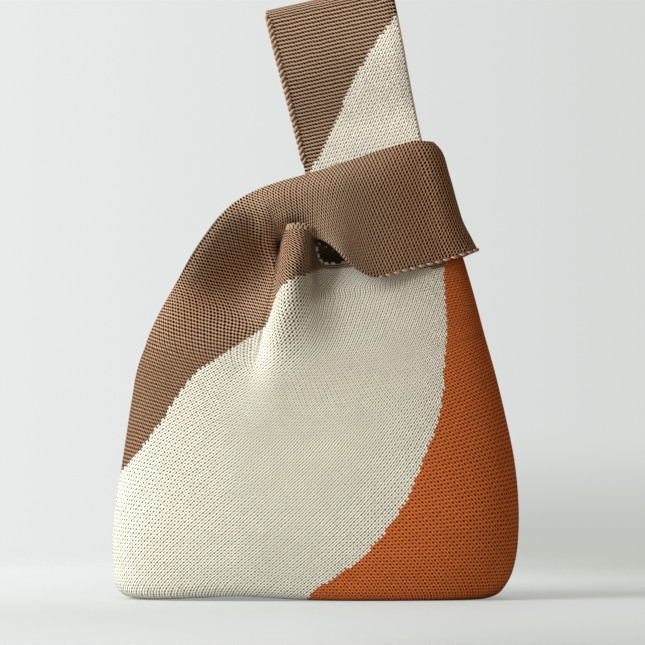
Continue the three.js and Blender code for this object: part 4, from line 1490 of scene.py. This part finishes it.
# %% Long handle courses
STRAP_LEVEL = [5, 34, 47, 63, 79.5, 95, 107.5]
STRAP_DEPTH = [5, 3.6, 3.5, 6.0, 8.3, 7.4, 5.6]
FOOT_LEVEL = -30
NECK_TOP, ROOT_TOP, LOWER_TOP = 31.0, 46.0, 66.0
NECK_COURSES, ROOT_COURSES, LOWER_COURSES, UPPER_COURSES = 14, 9, 12, 22
CREST_TOP, CREST_RADIUS, CREST_COURSES = 113.0, 5.6, 6


def strap_grid(grid):
    """Courses of the front long handle from the mouth to the crest, and their levels."""
    courses = foot_courses(grid)
    levels = [FOOT_LEVEL + (FOOT_TOP - FOOT_LEVEL) * k / FOOT_COURSES for k in range(FOOT_COURSES)]
    straight = np.unique(np.concatenate([
        np.linspace(FOOT_TOP, NECK_TOP, NECK_COURSES), np.linspace(NECK_TOP, ROOT_TOP, ROOT_COURSES),
        np.linspace(ROOT_TOP, LOWER_TOP, LOWER_COURSES),
        np.linspace(LOWER_TOP, CREST_TOP - CREST_RADIUS, UPPER_COURSES)]))
    for level in straight:
        courses.append(strap_course(level, float(smooth_value(level, STRAP_LEVEL, STRAP_DEPTH))))
        levels.append(level)
    for k in range(1, CREST_COURSES + 1):
        angle = 0.5 * math.pi * k / CREST_COURSES
        level = CREST_TOP - CREST_RADIUS * (1 - math.sin(angle))
        courses.append(strap_course(level, CREST_RADIUS * math.cos(angle)))
        levels.append(level)
    return np.array(courses), np.array(levels)


print("layers stand", 2 * max(STRAP_DEPTH), "mm apart at most")

# %% [markdown]
# ## Sheets of the long handle
# The strap is cream below a slanting border and brown above it, and its foot's right side is still
# orange. It is coloured stitch by stitch, like the panels. The border could be one line in the
# material, but then it would cut through stitches.

# %% Long handle sheets
STRAP_BORDER = smooth_line([
    (-38, 22), (-30, 31), (-16.3, 47.3), (-6.8, 61), (9.7, 80.4), (27, 95.5), (36, 102),
])
ORANGE_TOP, ORANGE_FROM = 200, 66.5


def strap_field(middle):
    """Brown above the slanting border, cream below it, orange at the foot's right side."""
    off = middle - NECK_PLACE
    x, z = off @ NECK_ACROSS, off @ NECK_UP
    field = np.where(z > np.interp(x, STRAP_BORDER[:, 0], STRAP_BORDER[:, 1]), BROWN_FIELD, CREAM_FIELD)
    at_foot = (middle[:, 2] < ORANGE_TOP) & (middle[:, 0] > ORANGE_FROM)
    return np.where(at_foot, ORANGE_FIELD, field)


def strap_sheet(courses, first_row, sign):
    """The thick sheet between two cuts of the strap; sign is -1 for the front and 1 for the back."""
    rows, columns = courses.shape[:2]
    points = courses.reshape(-1, 3) * (1, -sign, 1)
    row, column = [part.ravel() for part in np.mgrid[0:rows, 0:columns]]
    stitches = np.stack([column, row + first_row], axis=1).astype(float)
    faces = grid_faces(np.ones((rows, columns), bool))
    fields = strap_field(points[faces].mean(axis=1))
    if sign > 0:
        faces = faces[:, ::-1]
        stitches[:, 0] *= -1
    free = np.where((row == 0) | (row == rows - 1), 0.0, 1.0)
    return sheet_mesh(points, faces, stitches, fields, free)


print("strap border", round(run_of(STRAP_BORDER)[-1]), "mm long")

# %% [markdown]
# ## Tubes
# A strand of yarn is a thin closed tube. Curves with a bevel could draw tubes too, but plain meshes
# join into one piece with the cloth and bend with it. A tube is built along a line, with a frame that
# is worked out at each of its points from one fixed direction, so that nothing flips in a bend.

# %% Tubes
AROUND = 7
TUBE_SIDE = (0.13, 0.31, 0.94)


def carried_frame(line, side):
    """Tangent, side and normal along a line; side is the direction that the side starts from."""
    tangent = np.gradient(line, axis=0)
    tangent /= np.linalg.norm(tangent, axis=1)[:, None]
    sides = np.broadcast_to(np.asarray(side, float), line.shape).copy()
    sides -= (sides * tangent).sum(axis=1)[:, None] * tangent
    sides /= np.linalg.norm(sides, axis=1)[:, None]
    return tangent, sides, np.cross(tangent, sides)


def ring_faces(rings, around):
    """Faces of a closed tube: quads from ring to ring, and a cap on each end."""
    faces = []
    for j in range(rings - 1):
        for k in range(around):
            n = (k + 1) % around
            faces.append([j * around + k, j * around + n, (j + 1) * around + n, (j + 1) * around + k])
    first = list(range(around))
    return faces + [first[::-1], [(rings - 1) * around + k for k in first]]


def tube_part(line, radius, field, around=AROUND):
    """A closed tube along a line."""
    _, side, normal = carried_frame(line, TUBE_SIDE)
    angle = np.linspace(0, 2 * math.pi, around, endpoint=False)
    ring = side[:, None] * np.cos(angle)[None, :, None] + normal[:, None] * np.sin(angle)[None, :, None]
    points = (line[:, None] + radius * ring).reshape(-1, 3)
    faces = ring_faces(len(line), around)
    return points, faces, None, np.full(len(faces), field)


print("a strand has", AROUND, "sides")

# %% [markdown]
# ## Twisted cords
# A twisted cord is a few strands that wind round one line, each a little further on than the next. A
# Screw modifier makes such turns only round a straight axis, and these cords follow bent edges. Where a
# cord goes on from one piece to the next, its turn goes on too.

# %% Twisted cords
CORD_SIDE, CORD_STEP, CORD_LEAST = (0.1, 0.2, 0.97), 0.5, 12


def twisted_parts(line, radius, strand, lay, fields, before=0.0):
    """Strands that wind round a line, one for each field; before is the length already wound."""
    line = evenly(line, max(CORD_LEAST, int(run_of(line)[-1] / CORD_STEP)))
    run = run_of(line) + before
    _, side, normal = carried_frame(line, CORD_SIDE)
    parts = []
    for k, field in enumerate(fields):
        angle = 2 * math.pi * (run / lay + k / len(fields))
        wound = line + radius * (side * np.cos(angle)[:, None] + normal * np.sin(angle)[:, None])
        parts.append(tube_part(wound, strand, field))
    return parts


print("a cord has a point every", CORD_STEP, "mm")

# %% [markdown]
# ## Chains
# A linked seam is a chain: a row of stitches, each with two plump legs that lean towards each other.
# They are placed one by one along a line, a pitch apart. That is plainer here than an Array modifier,
# because the number of stitches follows from the length.

# %% Chains
LEG_AROUND, LEG_RINGS, LEG_END = 8, 6, 0.94
LEG_TURN, LEG_LONG, LEG_WIDE = math.radians(32), 0.78, 0.27


def stitch_middles(line, pitch):
    """Middles of the stitches that fit along a line."""
    count = max(2, int(round(run_of(line)[-1] / pitch)))
    return evenly(line, 2 * count + 1)[1::2]


def chain_parts(line, out, pitch, width, plump, field):
    """A chain of stitches along a line; out is the direction that they face."""
    middle = stitch_middles(line, pitch)
    tangent, normal, side = carried_frame(middle, out)
    around = np.linspace(0, 2 * math.pi, LEG_AROUND, endpoint=False)
    around, along = np.meshgrid(around, np.linspace(-LEG_END, LEG_END, LEG_RINGS))
    radius = np.sqrt(1 - along ** 2)
    ball = np.stack([along, radius * np.cos(around), radius * np.sin(around)], axis=-1).reshape(-1, 3)
    faces = ring_faces(LEG_RINGS, LEG_AROUND)
    parts = []
    for j in range(len(middle)):
        for hand in (-1, 1):
            lean = LEG_TURN * hand
            long_way = tangent[j] * math.cos(lean) - side[j] * math.sin(lean)
            wide_way = tangent[j] * math.sin(lean) + side[j] * math.cos(lean)
            centre = middle[j] + side[j] * hand * width / 4
            points = (centre + ball[:, :1] * long_way * pitch * LEG_LONG
                      + ball[:, 1:2] * wide_way * width * LEG_WIDE + ball[:, 2:] * normal[j] * plump)
            parts.append((points, faces, None, np.full(len(faces), field)))
    return parts


print("a seam stitch has", 2 * len(ring_faces(LEG_RINGS, LEG_AROUND)), "faces")

# %% [markdown]
# ## The long handle, cut into pieces
# The handle slides, folds and opens, so it is cut along courses into pieces, each cut where the cloth
# follows one body alone. From the short handle upwards a brown rope of two strands runs along the left
# edge. It shares the mesh of the sheet. Stitches inside the crest close the top when the loop opens.

# %% Cut the long handle
STRAND_FIELD = 3
ROPE_RADIUS, ROPE_STRAND, ROPE_LAY = 1.0, 0.92, 6.0
ROPE_IN, ROPE_OUT, ROPE_ENDS_BELOW = 1.0, 0.3, 3
CREST_STITCHES, CREST_POINTS = (-36, 25.5), 40
CREST_PITCH, CREST_WIDE, CREST_PLUMP, CREST_UNDER = 2.2, 5.4, 0.9, 0.2


def rope_line(courses, sign):
    """Line of the rope along the left edge, a little inside the strap."""
    line = courses[:, 0] + (ROPE_IN * DEPTH_WAY - ROPE_OUT * NECK_ACROSS)
    return line * (1, -sign, 1)


def crest_parts():
    """Stitches inside the crest of the strap."""
    x = np.linspace(*CREST_STITCHES, CREST_POINTS)
    line = neck_point(x, 0.0, CREST_TOP - 0.5 * KNIT_THICK - CREST_UNDER)
    return chain_parts(line, NECK_UP, CREST_PITCH, CREST_WIDE, CREST_PLUMP, STRAND_FIELD)


strap_pieces = {}
for side, sign, grid in SIDES:
    courses, levels = strap_grid(grid)
    cuts = [int(np.argmin(np.abs(levels - top))) for top in (NECK_TOP, ROOT_TOP, LOWER_TOP)]
    before = 0.0
    for part, low, high in zip(("neck", "root", "lower", "upper"), [0, *cuts], [*cuts, len(levels) - 1]):
        parts = [strap_sheet(courses[low:high + 1], low, sign)]
        if part != "neck":
            stop = high - ROPE_ENDS_BELOW if part == "upper" else high + 1
            line = rope_line(courses[low:stop], sign)
            parts += twisted_parts(line, ROPE_RADIUS, ROPE_STRAND, ROPE_LAY, [STRAND_FIELD] * 2, before)
            before += run_of(line)[-1]
        if part == "upper":
            parts += crest_parts()
        strap_pieces[side, part] = parts
    print(side, "handle", len(levels), "courses, rope", round(before), "mm")

# %% [markdown]
# ## Parts of one piece
# A piece of the handle holds cloth, rope and stitches. Blender can join objects, but joining the plain
# lists of points and faces before an object is made is quicker and keeps the order of the yarns. The
# rows of the handle lie close together, and its finish is told so.

# %% Join the parts
# The strap's cream is the lighter copy, with painted light.
STRAP_FINISH = [BROWN, STRAP_CREAM_LIT, ORANGE, BROWN_YARN]
ROW_PRESS = 0.12


def joined_parts(parts):
    """Several meshes as one; a part without stitches gets a steady place in a stitch."""
    offset, points, faces, stitches, fields = 0, [], [], [], []
    for part in parts:
        points.append(part[0])
        faces += [[int(v) + offset for v in face] for face in part[1]]
        stitches.append(np.zeros((len(part[0]), 2)) if part[2] is None else part[2])
        fields.append(part[3])
        offset += len(part[0])
    return np.concatenate(points), faces, np.concatenate(stitches), np.concatenate(fields)


def strap_object(name, parts):
    """One piece of the strap; its rows lie pressed together."""
    mesh = joined_parts(parts)
    return piece_from(name, *mesh, STRAP_FINISH, stretch=np.full(len(mesh[0]), -ROW_PRESS))


print("parts of a top strap", len(strap_pieces["front", "upper"]))

# %% [markdown]
# ## The long handle, dressed
# Each piece now becomes an object, set in place, and the parts of the frame that it stands for are
# hidden. The shoulder stretches when the handle is pulled up, the pressed root bends when it folds, and
# the straps bow when the loop opens. Front and back share the pressed root, because they move together
# there.

# %% Dress the long handle
NECK_MIDDLE = -5.0


def neck_level(level):
    """A point of the neck's middle line, in metres."""
    return tuple(neck_point(NECK_MIDDLE, 0.0, level) * MM)


for side in ("front", "back"):
    neck = strap_object(f"long_handle_{side}_shoulder", strap_pieces[side, "neck"])
    neck_level(-26)
    neck_level(6)
    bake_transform(neck)
    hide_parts(f"long_handle_{side}_neck")
    low = strap_object(f"long_handle_{side}_low_strap", strap_pieces[side, "lower"])
    neck_level(46.2)
    neck_level(53)
    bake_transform(low)
    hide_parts(f"long_handle_{side}_lower_brown", f"long_handle_{side}_lower_cream",
                f"long_handle_{side}_lower_edge")
    high = strap_object(f"long_handle_{side}_top_strap", strap_pieces[side, "upper"])
    neck_level(69)
    neck_level(91)
    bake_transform(high)
    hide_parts(f"long_handle_{side}_upper_brown", f"long_handle_{side}_upper_cream",
                f"long_handle_{side}_upper_edge")
    for item in (neck, low, high):
        print(item.name, len(item.data.polygons), "faces")

pressed = strap_pieces["front", "root"] + strap_pieces["back", "root"]
root = strap_object("long_handle_pressed_root", pressed)
neck_level(31.2)
neck_level(45)
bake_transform(root)
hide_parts("long_handle_root")
print(root.name, len(root.data.polygons), "faces")

# %% [markdown]
# ## Cord under the short handle
# The short handle's lower edge is bound with a twisted cord of all three yarns. It could be drawn as a
# striped rim, but it stands free of the cloth and catches the light, so it is made of real strands. It
# lies on the edge's line, a little further out.

# %% Cord under the short handle
EDGE_FINISH = [BROWN_YARN, CREAM_YARN, RUST_YARN]
BROWN_STRAND, CREAM_STRAND, RUST_STRAND = range(3)
CORD_RADIUS, CORD_STRAND, CORD_LAY = 0.5, 0.5, 4.6
CORD_AFTER, CORD_OUT, CORD_IN, CORD_FROM = 16, 0.9, 0.9, 31


def strand_piece(name, parts, materials, body, slot, *stands_for):
    """One object of strands, which rides on a body."""
    points, faces, _, fields = joined_parts(parts)
    item = piece_from(name, points, faces, None, fields, materials)
    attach(item, body)
    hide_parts(*stands_for)
    print(item.name, len(item.data.polygons), "faces")


def band_edge(grid, sign):
    """Line of the cord under the short handle's lower edge, from where that edge turns outwards."""
    rows = np.arange(mouth_row + CORD_AFTER, grid.shape[0] - 1)
    line = grid[rows, HANDLE_COLUMNS].copy()
    away = line - grid[rows, HANDLE_COLUMNS - 1]
    line += away / np.linalg.norm(away, axis=1)[:, None] * CORD_OUT
    line[:, 1] -= CORD_IN
    return line[line[:, 0] > CORD_FROM] * (1, sign, 1)


def band_cord(grid, sign):
    """Strands of the cord, one of each yarn."""
    yarns = [BROWN_STRAND, CREAM_STRAND, RUST_STRAND]
    return twisted_parts(band_edge(grid, sign), CORD_RADIUS, CORD_STRAND, CORD_LAY, yarns)


print("cord", round(run_of(band_edge(front_grid, -1))[-1]), "mm long in front")

# %% [markdown]
# ## Loops round the mouth
# Round the mouth the last stitches stand up as small loops: brown ones over the pleat, a few cream
# dashes to its right, and low brown ones beyond. Each loop is a bent tube on two feet. They are strands
# and not bump, because they stand free against the dark inside of the bag.

# %% Loops round the mouth
LOOP_AROUND, LOOP_STEPS, LOOP_TURN = 6, 9, (-0.1, 1.1)
LOOPS_TO, DASHES, LOW_FROM = -1.5, (-0.5, 11), 12
RIM_IN, RIM_LEAN = 0.1, 0.1


def loop_parts(line, up, field, pitch, height, radius, reach=0.36):
    """Small upright loops along an edge, as a loose bind-off leaves them; low ones look like dashes."""
    middle = stitch_middles(line, pitch)
    tangent, rise, _ = carried_frame(middle, up)
    angle = np.linspace(*LOOP_TURN, LOOP_STEPS)[:, None] * math.pi
    parts = []
    for j in range(len(middle)):
        arch = middle[j] - tangent[j] * np.cos(angle) * pitch * reach + rise[j] * np.sin(angle) * height
        parts.append(tube_part(arch, radius, field, LOOP_AROUND))
    return parts


def mouth_edge(grid, sign):
    """Line of the loops along the mouth."""
    line = grid[mouth_row, HANDLE_COLUMNS + 1:COLUMNS - HANDLE_COLUMNS + 1].copy()
    line[:, 1] -= RIM_IN * KNIT_THICK
    return line * (1, sign, 1)


def mouth_loops(line, sign):
    """Loops, dashes and low loops along the mouth."""
    x = line[:, 0]
    upright = (0, sign * RIM_LEAN, 1)
    dashes = line[(x > DASHES[0]) & (x < DASHES[1])]
    rim = loop_parts(line[x < LOOPS_TO], upright, BROWN_STRAND, pitch=2.6, height=2.2, radius=0.46)
    rim += loop_parts(dashes, upright, CREAM_STRAND, pitch=3.6, height=0.6, radius=0.6, reach=0.24)
    rim += loop_parts(line[x > LOW_FROM], upright, BROWN_STRAND, pitch=2.4, height=0.6, radius=0.4)
    return rim


print("mouth", round(run_of(mouth_edge(front_grid, -1))[-1]), "mm long in front, between the handles")

# %% [markdown]
# ## Bound edges
# Cord and loops are now made for the front and the back. Both belong to the body and stay still. They
# could be one object, but the frame has two edges on each side, and each of them is replaced by a piece
# of its own.

# %% Bound edges
for side, sign, grid in SIDES:
    strand_piece(f"short_handle_{side}_cord", band_cord(grid, sign), EDGE_FINISH, "bag_body", "edge_yarn",
                 f"short_handle_{side}_edge")
    rim = mouth_loops(mouth_edge(grid, sign), sign)
    strand_piece(f"{side}_mouth_chain", rim, EDGE_FINISH, "bag_body", "edge_yarn", f"{side}_mouth_edge")

# %% [markdown]
# ## Linked seams
# The two panels are linked along both sides and the bottom, and both handles along their crests. The
# links lie on the inside, where they hardly show, so a plain chain of stitches is enough for each. It
# runs along the line where both sheets meet, a little more than one thickness of knit further in.

# %% Linked seams
SEAM_IN, SIDE_HEIGHTS, BOTTOM_ENDS = 1.4, (14, 120), (-75, 75)
SEAM_PITCH, SEAM_WIDE, SEAM_PLUMP = 2.4, 2.4, 0.9
LINK_PITCH, LINK_PLUMP = 2.2, 0.8
CUFF_IN, CUFF_WIDE, CUFF_ENDS = 1.2, 2.4, 2
SIDE_POINTS, BOTTOM_POINTS, TOP_POINTS = 60, 80, 40
TOP_IN, TOP_WIDE, TOP_ENDS = 1.3, 2.0, (-35, 25)

inset = KNIT_THICK + SEAM_IN
heights = np.linspace(*SIDE_HEIGHTS, SIDE_POINTS)
for side, edge, field, way in (("left", left_x, CREAM_STRAND, 1.0), ("right", right_x, RUST_STRAND, -1.0)):
    line = np.stack([edge(heights) + way * inset, np.zeros(SIDE_POINTS), heights], axis=1)
    seam = chain_parts(line, (way, 0, 0), SEAM_PITCH, SEAM_WIDE, SEAM_PLUMP, field)
    strand_piece(f"{side}_side_linking", seam, EDGE_FINISH, "bag_body", "edge_yarn", f"{side}_side_seam")
across = np.linspace(*BOTTOM_ENDS, BOTTOM_POINTS)
line = np.stack([across, np.zeros(BOTTOM_POINTS), np.full(BOTTOM_POINTS, inset)], axis=1)
seam = chain_parts(line, (0, 0, 1), SEAM_PITCH, SEAM_WIDE, SEAM_PLUMP, CREAM_STRAND)
strand_piece("bottom_linking", seam, EDGE_FINISH, "bag_body", "edge_yarn", "bottom_seam")

crest = front_grid[-1, CUFF_ENDS:HANDLE_COLUMNS + 1 - CUFF_ENDS] * (1, 0, 1)
crest[:, 0] -= KNIT_THICK + CUFF_IN
seam = chain_parts(crest, (-1, 0, 0), LINK_PITCH, CUFF_WIDE, LINK_PLUMP, BROWN_STRAND)
strand_piece("short_handle_crest_linking", seam, EDGE_FINISH, "bag_body", "edge_yarn",
             "short_handle_crest_seam")
line = neck_point(np.linspace(*TOP_ENDS, TOP_POINTS), 0.0, CREST_TOP - KNIT_THICK - TOP_IN)
seam = chain_parts(line, -NECK_UP, LINK_PITCH, TOP_WIDE, LINK_PLUMP, BROWN_STRAND)
strand_piece("long_handle_crest_linking", seam, EDGE_FINISH, "front_upper_strap", "edge_yarn",
             "long_handle_crest_seam")
